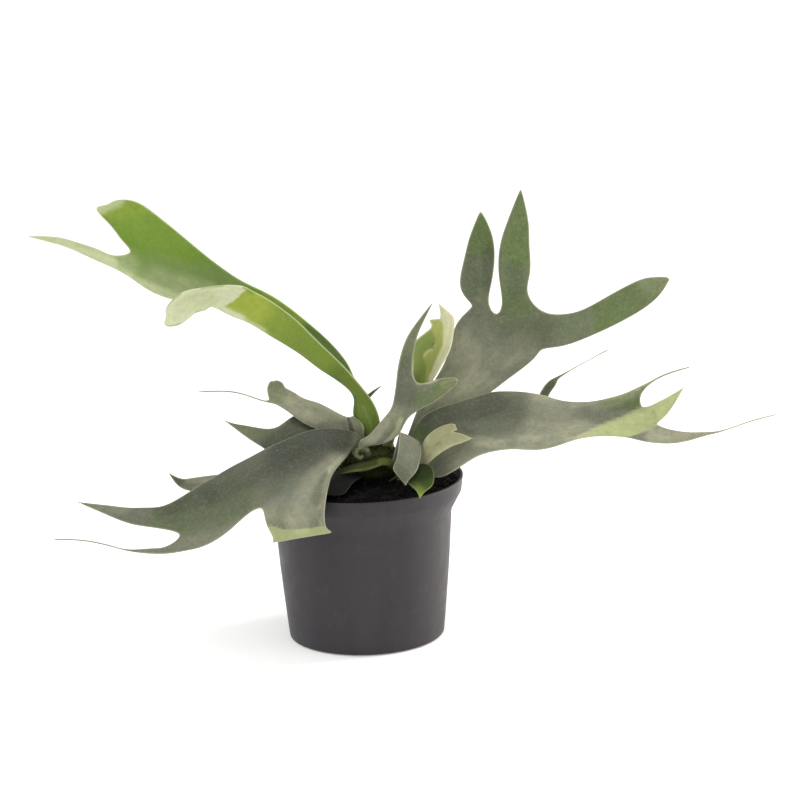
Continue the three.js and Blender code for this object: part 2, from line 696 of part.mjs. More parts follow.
// Where each point of a net comes to lie on the smooth surface that the net stands for.
function smoothPlaces(net) {
  const { around } = neighboursOf(net);
  return net.points.map((point, i) => {
    const { near, rim, faces } = around[i];
    if (rim.length) return combine([[4 / 6, point], ...rim.map((j) => [1 / 6, net.points[j]])]);
    const n = near.length;
    const whole = n * (n + 5);
    const terms = [[n * n / whole, point], ...near.map((j) => [4 / whole, net.points[j]])];
    for (const f of faces) {
      const face = net.faces[f];
      terms.push([1 / whole, net.points[face[(face.indexOf(i) + 2) % 4]]]);
    }
    return combine(terms);
  });
}

// Moves a net's points until its smooth surface passes through where they were.
function fitted(net) {
  const aims = net.points;
  let points = net.points;
  for (let pass = 0; pass < FIT_PASSES; pass++) {
    const reached = smoothPlaces({ points, faces: net.faces });
    points = points.map((point, i) => combine([[1, point], [1, aims[i]], [-1, reached[i]]]));
  }
  return { points, faces: net.faces };
}

// One step of Catmull and Clark's subdivision.
function subdivided(net) {
  const { edges, around } = neighboursOf(net);
  const facePoints = net.faces.map((face) => mean(face.map((a) => net.points[a])));
  const points = net.points.map((point, i) => {
    const { near, rim, faces } = around[i];
    if (rim.length) return combine([[6 / 8, point], ...rim.map((j) => [1 / 8, net.points[j]])]);
    const n = near.length;
    const edgeMiddles = mean(near.map((j) => mean([point, net.points[j]])));
    const faceMiddles = mean(faces.map((f) => facePoints[f]));
    return combine([[(n - 3) / n, point], [2 / n, edgeMiddles], [1 / n, faceMiddles]]);
  });
  const faceStart = points.length;
  points.push(...facePoints);
  for (const edge of edges.values()) {
    const ends = [net.points[edge.a], net.points[edge.b]];
    edge.point = points.push(mean(edge.faces.length === 1 ? ends
      : [...ends, ...edge.faces.map((f) => facePoints[f])])) - 1;
  }
  const edgePoint = (a, b) => edges.get(Math.min(a, b) + '_' + Math.max(a, b)).point;
  const faces = net.faces.flatMap((face, f) => face.map((a, k) => [
    a, edgePoint(a, face[(k + 1) % 4]), faceStart + f, edgePoint(face[(k + 3) % 4], a)]));
  return { points, faces };
}

const surfaceOf = (limb, steps) => {
  let net = fitted(netOf(limb));
  for (let step = 0; step < steps; step++) net = subdivided(net);
  return { points: smoothPlaces(net), faces: net.faces };
};

// The lower end of a frond, a little longer and with fewer points across, which shapes its socket.
function footOf(limb) {
  const rungs = limb.rungs.slice(0, FOOT_RUNGS);
  const [thickness, arch, ...marks] = rungs[0];
  const below = new THREE.Vector3(...marks[0]).sub(new THREE.Vector3(...rungs[1][2])).setLength(SOCKET_SPARE);
  const lowered = marks.map((mark) => new THREE.Vector3(...mark).add(below).toArray());
  rungs[0] = [thickness, arch, ...lowered];
  const columns = { 2: 3, 3: 5 }[marks.length] ?? marks.length;
  return { columns, rungs };
}

// A closed solid round a surface: half of each point's thickness to either side. A solid that is only
// cut out of another one is made larger all round.
function bladeGeometry({ points, faces }, larger = 0) {
  const places = points.map(([x, y, z]) => new THREE.Vector3(x, y, z));
  const normals = places.map(() => new THREE.Vector3());
  for (const [a, b, c, d] of faces) {
    const normal = new THREE.Vector3().subVectors(places[c], places[a])
      .cross(new THREE.Vector3().subVectors(places[d], places[b]));
    for (const corner of [a, b, c, d]) normals[corner].add(normal);
  }
  normals.forEach((normal) => normal.normalize());

  const { edges } = neighboursOf({ points, faces });
  const rims = [];
  const outwards = places.map(() => new THREE.Vector3());
  for (const edge of edges.values()) {
    if (edge.faces.length > 1) continue;
    const face = faces[edge.faces[0]];
    const [p, q] = [face.indexOf(edge.a), face.indexOf(edge.b)];
    const [from, to] = (p + 1) % 4 === q ? [edge.a, edge.b] : [edge.b, edge.a];
    rims.push([from, to]);
    const out = new THREE.Vector3().subVectors(places[to], places[from]).cross(normals[from]).normalize();
    outwards[from].add(out);
    outwards[to].add(out);
  }
  const count = places.length;
  const positions = [];
  for (const side of [1, -1]) {
    places.forEach((at, i) => {
      const half = points[i][3] / 2 + larger;
      const corner = at.clone().addScaledVector(normals[i], side * half);
      corner.addScaledVector(outwards[i].clone().normalize(), larger);
      positions.push(corner.x, corner.y, corner.z);
    });
  }
  const index = [];
  for (const [a, b, c, d] of faces) {
    index.push(a, b, c, a, c, d);
    index.push(count + a, count + c, count + b, count + a, count + d, count + c);
  }
  for (const [from, to] of rims) {
    index.push(to, from, count + from, to, count + from, count + to);
  }
  return indexedGeometry(positions, index);
}

function indexedGeometry(positions, index) {
  const geometry = new THREE.BufferGeometry();
  geometry.setAttribute('position', new THREE.Float32BufferAttribute(positions, 3));
  geometry.setIndex(index);
  return geometry;
}

// A round tube through marks, with a radius at each, closed at both ends.
function tubeGeometry(marks, radii, steps, sides, larger = 0) {
  const curve = new THREE.CatmullRomCurve3(marks.map(place));
  const frames = curve.computeFrenetFrames(steps);
  const positions = [];
  const index = [];
  for (let i = 0; i <= steps; i++) {
    const at = curve.getPoint(i / steps);
    const span = (i / steps) * (radii.length - 1);
    const low = Math.min(Math.floor(span), radii.length - 2);
    const radius = THREE.MathUtils.lerp(radii[low], radii[low + 1], span - low) + larger;
    for (let k = 0; k < sides; k++) {
      const turn = (k / sides) * 2 * Math.PI;
      const corner = at.clone()
        .addScaledVector(frames.normals[i], radius * Math.cos(turn))
        .addScaledVector(frames.binormals[i], radius * Math.sin(turn));
      positions.push(corner.x, corner.y, corner.z);
      if (i < steps) {
        const here = i * sides + k;
        const beside = i * sides + (k + 1) % sides;
        index.push(here, beside, beside + sides, here, beside + sides, here + sides);
      }
    }
  }
  for (let k = 1; k + 1 < sides; k++) {
    index.push(0, k + 1, k);
    const last = steps * sides;
    index.push(last, last + k, last + k + 1);
  }
  return indexedGeometry(positions, index);
}

function solidFrom(geometry) {
  const bare = new THREE.BufferGeometry();
  bare.setAttribute('position', geometry.getAttribute('position').clone());
  if (geometry.index) bare.setIndex(geometry.index.clone());
  const merged = mergeVertices(bare, SAME_POINT);
  return new wasm.Manifold(new wasm.Mesh({
    numProp: 3,
    vertProperties: merged.attributes.position.array,
    triVerts: new Uint32Array(merged.index.array),
  }));
}

function geometryFrom(solid) {
  const mesh = solid.getMesh();
  return indexedGeometry(Array.from(mesh.vertProperties), Array.from(mesh.triVerts));
}

// The largest piece of a solid, without the loose scraps that a cut may leave.
const largestPiece = (solid) => solid.decompose().sort((a, b) => b.volume() - a.volume())[0];

// The outer line of the pot's wall, as [radius, height] from the foot up.
const wallLine = [
  [FOOT_CORNER_RADIUS, FOOT_CORNER_HEIGHT],
  [WAIST_RADIUS, POT_HEIGHT * WAIST_SHARE],
  [NECK_RADIUS, POT_HEIGHT - RIM_BAND - COLLAR_TAPER],
  [RIM_RADIUS - RIM_SLOPE, POT_HEIGHT - RIM_BAND],
  [RIM_RADIUS, POT_HEIGHT - RIM_BAND / 2],
  [RIM_RADIUS, POT_HEIGHT],
];

function innerRadius(height) {
  for (let i = 1; i < wallLine.length; i++) {
    const [r0, h0] = wallLine[i - 1];
    const [r1, h1] = wallLine[i];
    if (height <= h1) return THREE.MathUtils.mapLinear(height, h0, h1, r0, r1) - WALL;
  }
  return RIM_RADIUS - WALL;
}

function lathe(profile, sides) {
  const line = profile.map(([radius, height]) => new THREE.Vector2(radius, height));
  return new THREE.LatheGeometry(line, sides).rotateX(Math.PI / 2);
}

function potGeometry() {
  const inner = wallLine.slice(0, -1).map(([, height]) => Math.max(height, FLOOR_CORNER_HEIGHT)).reverse()
    .map((height) => [innerRadius(height), height]);
  const floorTop = FOOT_RECESS + FLOOR;
  const profile = [
    [0, 0],
    [FOOT_DISC_RADIUS, 0],
    [FOOT_DISC_RADIUS + FOOT_BEVEL, FOOT_RECESS],
    [FOOT_RADIUS - FOOT_RING_WIDTH, FOOT_RECESS],
    [FOOT_RADIUS - FOOT_RING_WIDTH + FOOT_BEVEL, 0],
    [FOOT_RADIUS - FOOT_BEVEL, 0],
    ...FOOT_CURVE.map(([out, height]) => [FOOT_RADIUS + out, height]),
    ...wallLine.slice(0, -1),
    [RIM_RADIUS, POT_HEIGHT - LIP_OUTER_EDGE],
    [RIM_RADIUS - LIP_OUTER_EDGE, POT_HEIGHT],
    [RIM_RADIUS - WALL, POT_HEIGHT - LIP_INNER_EDGE],
    ...inner,
    [FOOT_RADIUS - FLOOR_CORNER_INSET, floorTop],
    [0, floorTop],
  ];
  let pot = solidFrom(lathe(profile, POT_SIDES));
  const drain = new THREE.CylinderGeometry(DRAIN_RADIUS, DRAIN_RADIUS, FLOOR_CORNER_HEIGHT * 2, DRAIN_SIDES)
    .rotateX(Math.PI / 2);
  for (let i = 0; i < DRAIN_HOLES; i++) {
    const turn = (i / DRAIN_HOLES) * 2 * Math.PI;
    const hole = drain.clone().translate(DRAIN_CIRCLE * Math.cos(turn), DRAIN_CIRCLE * Math.sin(turn), 0);
    pot = pot.subtract(solidFrom(hole));
  }
  return geometryFrom(pot);
}

// A leaning dome: narrow below the soil, widest just above it.
function crownSolid(larger = 0) {
  const rise = CROWN_TOP - CROWN_FOOT;
  const geometry = lathe(CROWN_OUTLINE.map(([r, h]) => [r, CROWN_FOOT + h * rise]), CROWN_SIDES);
  const position = geometry.getAttribute('position');
  for (let i = 0; i < position.count; i++) {
    const turn = Math.atan2(position.getY(i), position.getX(i));
    const wave = Math.sin(CROWN_SWELL.count * turn + CROWN_SWELL.twist * position.getZ(i));
    const swell = 1 + CROWN_SWELL.size * wave;
    position.setX(i, CROWN_X + position.getX(i) * (CROWN_HALF_WIDTH * swell + larger));
    position.setY(i, CROWN_Y + position.getY(i) * (CROWN_HALF_DEPTH * swell + larger));
    if (position.getZ(i) < CROWN_FOOT + SEAT_GAP) position.setZ(i, CROWN_FOOT - larger);
  }
  return solidFrom(geometry);
}

function crownGeometry(sockets) {
  return geometryFrom(largestPiece(sockets.reduce((crown, socket) => crown.subtract(socket), crownSolid())));
}

// Soil: fills the pot, mounded towards the crown, with a lumpy top.
function soilGeometry(cuts) {
  const floor = FOOT_RECESS + FLOOR + SEAT_GAP;
  const edge = innerRadius(SOIL_EDGE_HEIGHT) - SEAT_GAP;
  const profile = [[0, floor], [FOOT_RADIUS - FOOT_BEVEL, floor]];
  for (const [, height] of wallLine) {
    const at = Math.max(height, FLOOR_CORNER_HEIGHT);
    if (at < SOIL_EDGE_HEIGHT) profile.push([innerRadius(at) - SEAT_GAP, at]);
  }
  for (let i = 0; i <= SOIL_RINGS; i++) {
    const out = 1 - i / SOIL_RINGS;
    profile.push([edge * out, SOIL_EDGE_HEIGHT + SOIL_MOUND * (1 - out * out)]);
  }
  const geometry = lathe(profile, SOIL_SIDES);
  const position = geometry.getAttribute('position');
  for (let i = 0; i < position.count; i++) {
    const [x, y, z] = [position.getX(i), position.getY(i), position.getZ(i)];
    if (z < SOIL_EDGE_HEIGHT - SOIL_LEVEL_EDGE || Math.hypot(x, y) > edge - SOIL_LEVEL_EDGE) continue;
    const crossed = Math.sin(LUMPS_ACROSS.rate * x + LUMPS_ACROSS.start)
      * Math.cos(LUMPS_BACK.rate * y + LUMPS_BACK.start);
    const slanted = LUMPS_SLANTED.share * Math.sin(LUMPS_SLANTED.across * x + LUMPS_SLANTED.back * y);
    position.setZ(i, z + SOIL_LUMPS * (crossed + slanted));
  }
  return geometryFrom(largestPiece(cuts.reduce((soil, cut) => soil.subtract(cut), solidFrom(geometry))));
}

// The colour and roughness of each piece; the fronds that are not named have the first.
const looks = {
  frond: { color: 0x7f8468, roughness: 0.75 },
  frond_high_left: { color: 0x82994f, roughness: 0.6 },
  frond_curled: { color: 0xa3a860, roughness: 0.7 },
  frond_small_pale: { color: 0xa9ab84, roughness: 0.75 },
  frond_small_green: { color: 0x6f8440, roughness: 0.6 },
  shield_front: { color: 0x6f7f3f, roughness: 0.65 },
  shield_left: { color: 0x4c5044, roughness: 0.8 },
  shield_back: { color: 0x4c5044, roughness: 0.8 },
  bud: { color: 0x8a9068, roughness: 0.8 },
  crown: { color: 0x4b4a2c, roughness: 0.9 },
  soil: { color: 0x2a2220, roughness: 1 },
  pot: { color: 0x48444a, roughness: 0.55 },
};

const root = new THREE.Group();
root.name = 'staghorn_fern';

function add(name, geometry) {
  const mesh = new THREE.Mesh(geometry, new THREE.MeshStandardMaterial(looks[name] ?? looks.frond));
  mesh.name = name;
  root.add(mesh);
}

const sockets = [];
for (const [name, limb] of Object.entries(fronds)) {
  add(name, bladeGeometry(surfaceOf(limb, 1)));
  sockets.push(solidFrom(bladeGeometry(surfaceOf(footOf(limb), 1), SOCKET_GAP)));
}
add('bud', tubeGeometry(BUD_PATH, BUD_RADII, BUD_STEPS, BUD_SIDES));
sockets.push(solidFrom(tubeGeometry(BUD_PATH, BUD_RADII, BUD_STEPS, BUD_SIDES, SEAT_GAP)));

add('crown', crownGeometry(sockets));
add('soil', soilGeometry([crownSolid(SEAT_GAP), ...sockets]));
add('pot', potGeometry());

export default root;
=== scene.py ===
# A staghorn fern in its nursery pot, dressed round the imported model.
# The plant's tables are in millimetres, as it was measured, and the meshes are in metres.
import json
import math
from types import SimpleNamespace

import bpy
import numpy as np
from mathutils import Matrix, Vector, noise


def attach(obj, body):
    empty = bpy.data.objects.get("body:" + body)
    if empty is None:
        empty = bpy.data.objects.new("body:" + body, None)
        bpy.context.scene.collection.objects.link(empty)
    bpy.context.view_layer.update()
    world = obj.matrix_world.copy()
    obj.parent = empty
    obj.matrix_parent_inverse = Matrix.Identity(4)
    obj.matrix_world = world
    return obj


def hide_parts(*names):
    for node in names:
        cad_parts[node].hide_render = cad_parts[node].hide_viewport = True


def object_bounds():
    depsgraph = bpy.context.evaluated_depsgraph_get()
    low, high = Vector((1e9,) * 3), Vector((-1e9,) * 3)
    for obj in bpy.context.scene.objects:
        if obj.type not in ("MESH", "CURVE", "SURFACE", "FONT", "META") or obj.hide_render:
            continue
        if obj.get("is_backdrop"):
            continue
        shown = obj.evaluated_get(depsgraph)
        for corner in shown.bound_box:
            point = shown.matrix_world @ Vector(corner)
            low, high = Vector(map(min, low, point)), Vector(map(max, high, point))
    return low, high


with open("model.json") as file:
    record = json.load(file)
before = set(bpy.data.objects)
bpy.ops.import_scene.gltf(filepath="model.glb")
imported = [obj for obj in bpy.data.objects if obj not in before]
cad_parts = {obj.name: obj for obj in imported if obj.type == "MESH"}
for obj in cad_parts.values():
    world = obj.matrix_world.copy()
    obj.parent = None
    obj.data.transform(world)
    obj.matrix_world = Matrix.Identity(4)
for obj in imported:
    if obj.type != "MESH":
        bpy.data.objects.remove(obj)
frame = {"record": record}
cad_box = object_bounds()

MM = 0.001
TINY = 1e-9

# The view: the eye is a little above the plant and to the right of its pot, and the picture leans
SIGHT_ELEVATION = math.radians(14)
SIGHT_DISTANCE = 2000
EYE_ACROSS = 28
EYE_UP = 161
ROLL = math.radians(1.8)
PIXEL_SIZE = 0.7
IMAGE_WIDTH = 800
SENSOR_WIDTH = 36
SIGHT_LIMIT = 100

RIGHT = np.array([1.0, 0.0, 0.0])
UP = np.array([0.0, math.sin(SIGHT_ELEVATION), math.cos(SIGHT_ELEVATION)])
AHEAD = np.array([0.0, math.cos(SIGHT_ELEVATION), -math.sin(SIGHT_ELEVATION)])
EYE = EYE_ACROSS * RIGHT + EYE_UP * UP - SIGHT_DISTANCE * AHEAD

# Pot
POT_HEIGHT = 113
RIM_RADIUS = 70
RIM_BAND = 10.5
RIM_SLOPE = 1.4
COLLAR_TAPER = 13
NECK_RADIUS = 61.5
WAIST_RADIUS = 58.8
WAIST_SHARE = 0.45
FOOT_CORNER_RADIUS = 54.4
FOOT_CORNER_HEIGHT = 5
FOOT_RADIUS = 49.3
FOOT_RECESS = 2
FOOT_RING_WIDTH = 9
FOOT_BEVEL = 1.5
FOOT_CURVE = ((-1.5, 0), (1.8, 1), (4, 2.8))
FOOT_DISC_RADIUS = 18
FLOOR = 2.4
FLOOR_CORNER_HEIGHT = 8
FLOOR_INSET = 0.5
WALL = 1.8
LIP_ROUND = 0.7
BAND_ROUND = 0.9
COLLAR_ROUND = 3
DRAIN_HOLES = 8
DRAIN_RADIUS = 4
DRAIN_CIRCLE = 28.5
DRILL_SIDES = 24
POT_SIDES = 128
MERGE_DISTANCE = 1e-6
LINE_STEPS = 7

# Soil
SOIL_EDGE_HEIGHT = 106
SOIL_MOUND = 5
SOIL_RINGS = 44
SOIL_SIDES = 128
SOIL_BASE_RINGS = 4
SOIL_LUMPS = 1.6
SOIL_LUMP_LENGTH = 9
SOIL_ROUGHNESS = (0.8, 2.2, 4)
SOIL_FADE = 3
SOIL_TOP_MARGIN = 0.1
SEAT_GAP = 0.33

# Crown: the rhizome and the old tissue round it
CROWN_X = 7
CROWN_Y = 2
CROWN_TOP = 134.5
CROWN_FOOT = 94
CROWN_HALF_WIDTH = 23
CROWN_HALF_DEPTH = 20
CROWN_SWELL = SimpleNamespace(size=0.03, count=5, twist=0.4)
CROWN_OUTLINE = [(0, 0), (0.55, 0), (0.78, 0.2), (0.95, 0.42), (1, 0.56), (0.95, 0.72), (0.78, 0.87),
                 (0.5, 0.96), (0, 1)]
CROWN_SIDES = 96
CROWN_LAYERS = 6
CROWN_WAVES = SimpleNamespace(size=0.3, count=3)
CROWN_RELIEF = 0.9
CROWN_LUMPS = SimpleNamespace(size=0.8, across=4, up=7)

# Fronds
EDGE_THICKNESS = 0.9
EDGE_ROUND = 0.28
FIT_PASSES = 8
TIP_WIDTH = 4
TIP_LENGTH = 0.9
THREAD_WIDTH = 2
THREAD_SHARE = 0.5
SMOOTH_STEPS = 3
RIPPLE = 0.7
RIPPLE_LENGTH = 16
RIPPLE_START = 30


def limb(*parts, share=None, columns=None):
    """A row of rungs from foot to tip, and then the limbs that it forks into.

    A rung is (thickness, arch, mark, mark, ...): two marks are its left and right edges and three
    add its middle, while a rung that forks may give every point. A mark is (across, up, depth): the
    first two are where it is seen in the upright plane through the pot's axis that faces the eye,
    and depth is its real place along Y.
    """
    rungs = [part for part in parts if isinstance(part, tuple)]
    return SimpleNamespace(rungs=rungs, forks=parts[len(rungs):], share=share, columns=columns)


FRONDS = {
    "frond_high_left": limb(
        (2.6, 0, (10, 118, 3), (5.5, 117.5, 7), (10, 118, 11)),
        (2.4, 0, (12.5, 135, 2), (5, 134, 7.5), (13, 135.5, 13)),
        (2.2, 0, (13.2, 147, 1.5), (-3.4, 149, 7.5), (12.6, 148, 14)),
        (2, 0, (8.8, 160.3, 1), (-3.2, 161, 8), (8, 161, 14)),
        (1.8, 0, (0, 172.8, 0), (-8, 170.5, 7), (-1.8, 174, 14)),
        (1.6, 0, (-9.6, 184.5, -1), (-19.8, 179.8, 6), (-8, 187.8, 14)),
        (1.5, 0, (-25, 200.3, -3), (-38.5, 193.8, 5), (-22, 205.3, 14)),
        (1.4, 0, (-41, 217.2, -4), (-56.5, 206.2, 4), (-38.5, 220.5, 14)),
        (1.3, 0, (-60, 232.8, -5), (-77, 219, 3), (-57.5, 235.5, 13)),
        (1.2, 0, (-73, 240.5, -7), (-93, 226.5, 1), (-76, 245.5, 11)),
        limb((1.1, 0, (-80, 244, -11), (-101, 230, -3)), (1.1, 2, (-93, 245, -17), (-106, 228.5, -10)),
             (1.1, 3, (-110, 243.5, -21), (-114, 226, -17)), (1.1, 2, (-123, 240.5, -22), (-124, 219, -20)),
             (1, 0, (-133.2, 231, -22), (-134.5, 218.5, -21)), share=1),
        limb((1.2, -2, (-104, 232, 4), (-92, 256, 10)), (1.2, -3, (-127, 236, 0), (-110, 271, 7)),
             (1.1, -3, (-145, 243.3, -4), (-127, 286, 4)),
             (1.1, 0, (-154, 250, -6), (-158, 258, -5), (-157.7, 270.3, -3), (-150, 284, 0), (-141, 298, 2)),
             limb((1, 0, (-165, 257.2, -7), (-169, 268.3, -5)),
                  (1, 0, (-180, 264.8, -8), (-180, 272.9, -7)),
                  (1, 0, (-195, 272.2, -9), (-195, 278.4, -8.5)),
                  (0.9, 0, (-210, 278.2, -9), (-210, 282.5, -9)),
                  (0.9, 0, (-226.5, 282.5, -9), (-226.5, 284, -9))),
             limb((1.1, 0, (-163, 279, -3), (-147, 302.5, 0)), (1, 0, (-171, 290, -5), (-156, 306.5, -1)),
                  (1, 0, (-180, 301, -6), (-167, 306.5, -3))), share=1),
    ),
    "frond_tall_right": limb(
        (3, 0, (17, 117, 8), (24, 115, 5)), (2.8, 0, (27.6, 127.5, 10), (34, 121, 7)),
        (2.4, 1, (35.3, 142.2, 14), (49, 130, 12)), (2, 2, (41.8, 156.6, 18), (68, 146, 16)),
        (1.7, 3, (54, 176, 20), (88, 162, 17)), (1.5, 3, (63, 193, 21), (107, 175.3, 17)),
        (1.4, 2, (69, 212, 21), (99, 202, 19), (122.6, 187.2, 15)),
        (1.3, 0, (79, 223, 21), (88, 220.5, 20), (97, 219, 19), (112, 218, 17), (130.2, 219.5, 15),
         (131, 206, 13), (129, 193.5, 12)),
        limb((1.2, 1, (78.9, 228.6, 19), (92.2, 227, 18)), (1.2, 1.5, (73, 239, 20), (94.5, 241, 18)),
             (1.1, 1.5, (75.5, 256, 21), (97, 257, 19)), (1, 1, (80, 272, 21), (96, 274, 20)),
             (1, 0, (86.6, 287.6, 20), (88.7, 290.4, 20), (90.8, 287.4, 20))),
        limb((1.2, 1, (101.6, 227, 16), (119.8, 232.6, 14)), (1.2, 1.5, (100, 247, 16), (121.8, 248, 14)),
             (1.1, 1.5, (101.5, 266, 15), (121.9, 267, 14)), (1, 1, (107, 283, 14), (121.5, 284, 13)),
             (1, 0, (115.2, 302.6, 12), (118.4, 302, 12))),
        limb((1.2, 1, (146, 217.5, 12), (143, 195.4, 9)), (1.1, 1.5, (159, 220.5, 10), (160, 200.8, 8)),
             (1.1, 1.5, (175, 228.5, 9), (178, 208, 7)), (1, 1, (196, 238.7, 7), (200.3, 219.7, 6)),
             (1, 0.5, (208, 241.2, 6), (212.2, 229.4, 5.5)),
             (1, 0, (215.8, 241.2, 5), (218.7, 239.8, 5), (217.5, 236.8, 5))),
    ),
    "frond_right": limb(
        (3, 0, (25, 113, 3), (28, 109, -3)), (2.4, 0, (31, 127, 4), (37, 113, -7)),
        (1.9, -3, (37, 139, 4), (45, 109.5, -16)), (1.7, -4, (43, 148, 5), (53, 106, -23)),
        (1.5, -4, (55, 154.5, 6), (64, 110.5, -29)), (1.5, -3, (71, 159, 7), (76, 117.5, -33)),
        (1.4, -2, (88, 163.5, 8), (90, 122.5, -34)), (1.4, 1, (107, 164.5, 9), (107, 124, -33)),
        (1.3, 2, (126, 161.5, 9), (126, 123.5, -31)), (1.3, 2, (143, 156.5, 8), (142, 127, -28)),
        (1.2, 1, (161, 155.8, 6), (158, 131, -24)),
        (1.2, 0, (181, 159.3, 4), (190, 156, 2), (197.3, 151, -2), (201, 145.5, -7), (207, 138.6, -12),
         (193, 135, -16), (181, 130.5, -20)),
        limb((1.1, 0, (194, 164.2, 2), (196.6, 159, -1)), (1, 0, (203, 168.9, 0), (204.1, 166.6, -1)),
             (0.9, 0, (216, 174.6, -1), (216.5, 172.8, -1)), (0.9, 0, (230, 178, -2), (230, 176.8, -2))),
        limb((1.1, 1, (206, 152.5, -5), (208, 140, -14)), (1, 1, (216, 157, -8), (217, 148.5, -14)),
             (0.9, 0, (224.9, 163.2, -10), (226, 161.5, -11))),
        limb((1.1, 0, (213, 135.4, -14), (198, 126.9, -22)), (1, 0, (226, 132.5, -16), (217, 124.6, -22)),
             (1, 0, (242, 131.7, -18), (238, 128.6, -20)), (0.9, 0, (256, 134, -19), (256, 132.3, -19)),
             (0.9, 0, (272, 139, -19), (272, 137.5, -19)), (0.9, 0, (289, 142.9, -19), (289, 141.7, -19))),
    ),
    "frond_front_left": limb(
        (3.2, 0, (-7, 116, -7), (-3, 118, 1)), (2.8, 0, (-6.5, 126.5, -9), (-0.5, 132.5, 0)),
        (2.2, 1, (-8, 126, -16), (-4.5, 139, -2)), (1.9, 2, (-13, 120, -28), (-14, 141.7, -3)),
        (1.7, 3, (-20, 112, -44), (-28, 142.5, -6)), (1.5, 3, (-24.5, 101, -61), (-43, 139.2, -10)),
        (1.4, 0, (-27, 88, -78), (-48, 91, -72), (-71.3, 88.4, -61), (-69.5, 101, -50), (-69.5, 111, -39),
         (-69.5, 120.5, -28), (-69.5, 128.5, -17)),
        limb((1.3, 1, (-27.6, 79, -83), (-68, 77.5, -72)),
             (1.1, 0, (-25.6, 72, -85.5), (-63.5, 66.8, -76.5)),
             (1.1, 0, (-24.3, 69.8, -86), (-62.5, 64.3, -77))),
        limb((1.3, 2, (-82, 84, -62), (-86, 120, -22)), (1.3, 2, (-93, 74.5, -63), (-101, 112.5, -27)),
             (1.2, 2, (-107, 65.4, -62), (-117, 103.8, -32)),
             (1.2, 0, (-121, 61, -60), (-127, 65.5, -56), (-129, 71.5, -51), (-130, 83, -43),
              (-131.5, 95.6, -36)),
             limb((1.1, 0, (-136, 59, -60), (-139, 63.7, -56)), (1, 0, (-151, 59, -59), (-151, 62.5, -57)),
                  (0.9, 0, (-166, 61, -57), (-166, 63, -56)),
                  (0.9, 0, (-182, 65.7, -55), (-182, 67.2, -55)),
                  (0.9, 0, (-199, 69.3, -53), (-199, 70.6, -53)),
                  (0.9, 0, (-215, 70.4, -52), (-215, 71.6, -52))),
             limb((1.1, 1, (-142, 76.3, -48), (-144, 91.3, -38)),
                  (1, 1, (-157, 79, -45), (-158, 91.2, -38)), (1, 0, (-172, 83.8, -43), (-173, 92.7, -39)),
                  (0.9, 0, (-197, 95, -40), (-197, 96.6, -40)))),
    ),
    "frond_centre": limb(
        (3, 0, (-1, 119, -5), (5, 118, -7)), (2.6, 0, (-2, 131, -8), (4, 128, -9.5)),
        (2.2, 0, (5, 136.5, -10), (13, 130.5, -12)), (1.9, -1, (14, 146, -12), (26, 137, -14)),
        (1.6, -1, (21.5, 155, -13), (34.3, 149.3, -14)), (1.5, 0, (24.3, 164, -13), (50, 158, -11)),
        (1.4, 0, (26, 174, -13), (32, 172.5, -14), (40.5, 172.5, -13.5), (48, 169, -11), (57, 162.5, -8)),
        limb((1.3, -1, (27.8, 186, -13), (37.3, 185, -12)), (1.2, -1, (31.9, 199, -12), (39.5, 199, -11)),
             (1, 0, (38.6, 211, -10), (43.8, 211, -10)), (1, 0, (51, 226.8, -7), (52.3, 226.3, -7))),
        limb((1.1, 0, (53, 174.2, -9), (61.5, 165.8, -6)),
             (1, 0, (64.9, 175.4, -4), (68.4, 174, -4), (67.3, 171, -4))),
    ),
    "frond_curled": limb(
        (2.4, 0, (14, 118, 1), (19, 117, -1)), (2, 0, (16, 131, 1), (22, 130, -1)),
        (1.8, 0, (22, 145, 0), (28, 144, -2)), (1.5, -1, (29, 160, 0), (38, 158, -2)),
        (1.3, 0, (35, 171, -2), (41, 169, 1), (47.5, 170, -1)),
        (1.2, 0, (37.5, 183, -4), (46, 180, 6), (56.5, 182, -2)),
        (1.1, 0, (38, 195, -4), (49, 194, 9), (63, 194, 0)),
        (1.1, 0, (41.3, 202.8, -3), (53, 203, 8.5), (65.8, 201.6, 2)),
        (1.1, 0, (50.7, 210.5, 2.5), (58, 210.8, 7), (67.3, 209, 2)),
        (1, 0, (50.7, 215, 2.5), (54.2, 215.4, 5), (58, 215.8, 6), (63, 216, 5), (67.7, 215.6, 1.5)),
        limb((1, 0, (51, 216.4, 2.3), (57.4, 216.7, 5.3))),
        limb((1, 0, (58.2, 220.6, 3.5), (65.2, 220.3, 1)), (0.9, 0, (57.1, 226, 1), (60, 225.2, 1))),
    ),
    "frond_left_upper": limb(
        (2.8, 0, (-5, 119, 5), (-1, 120, 11)), (2.4, 0, (-5, 131, 6), (3, 133, 12.5)),
        (1.9, 1, (-6.5, 138.5, 5), (-1, 146.5, 12.5)), (1.7, 2, (-12, 138.5, 4), (-11.5, 150.8, 13)),
        (1.5, 2, (-22, 140.5, 5), (-27, 159.6, 15)), (1.4, 2, (-35, 144.5, 6), (-39, 164, 16)),
        (1.3, 1, (-47, 152.5, 8), (-47, 169, 17)),
        (1.2, 0, (-57, 160, 9), (-60.5, 162, 10), (-63.5, 164.5, 12), (-58.5, 169, 15), (-52, 172, 18)),
        limb((1, 0, (-68, 162.8, 10), (-68, 164.3, 10.5)), (0.9, 0, (-81, 167.6, 10), (-81, 169, 10)),
             (0.9, 0, (-95, 170.3, 9), (-95, 171.7, 9)), (0.9, 0, (-111, 170.6, 8), (-111, 171.7, 8))),
        limb((1.1, 0, (-64.5, 171, 15), (-54, 175.5, 18)), (1, 0, (-62.5, 176.5, 16), (-58, 177.3, 17.5))),
    ),
    "frond_left_low": limb(
        (2.6, 0, (-13, 115, -1), (-10, 117, 4)), (2, 0, (-17, 124, -1), (-15, 130, 5)),
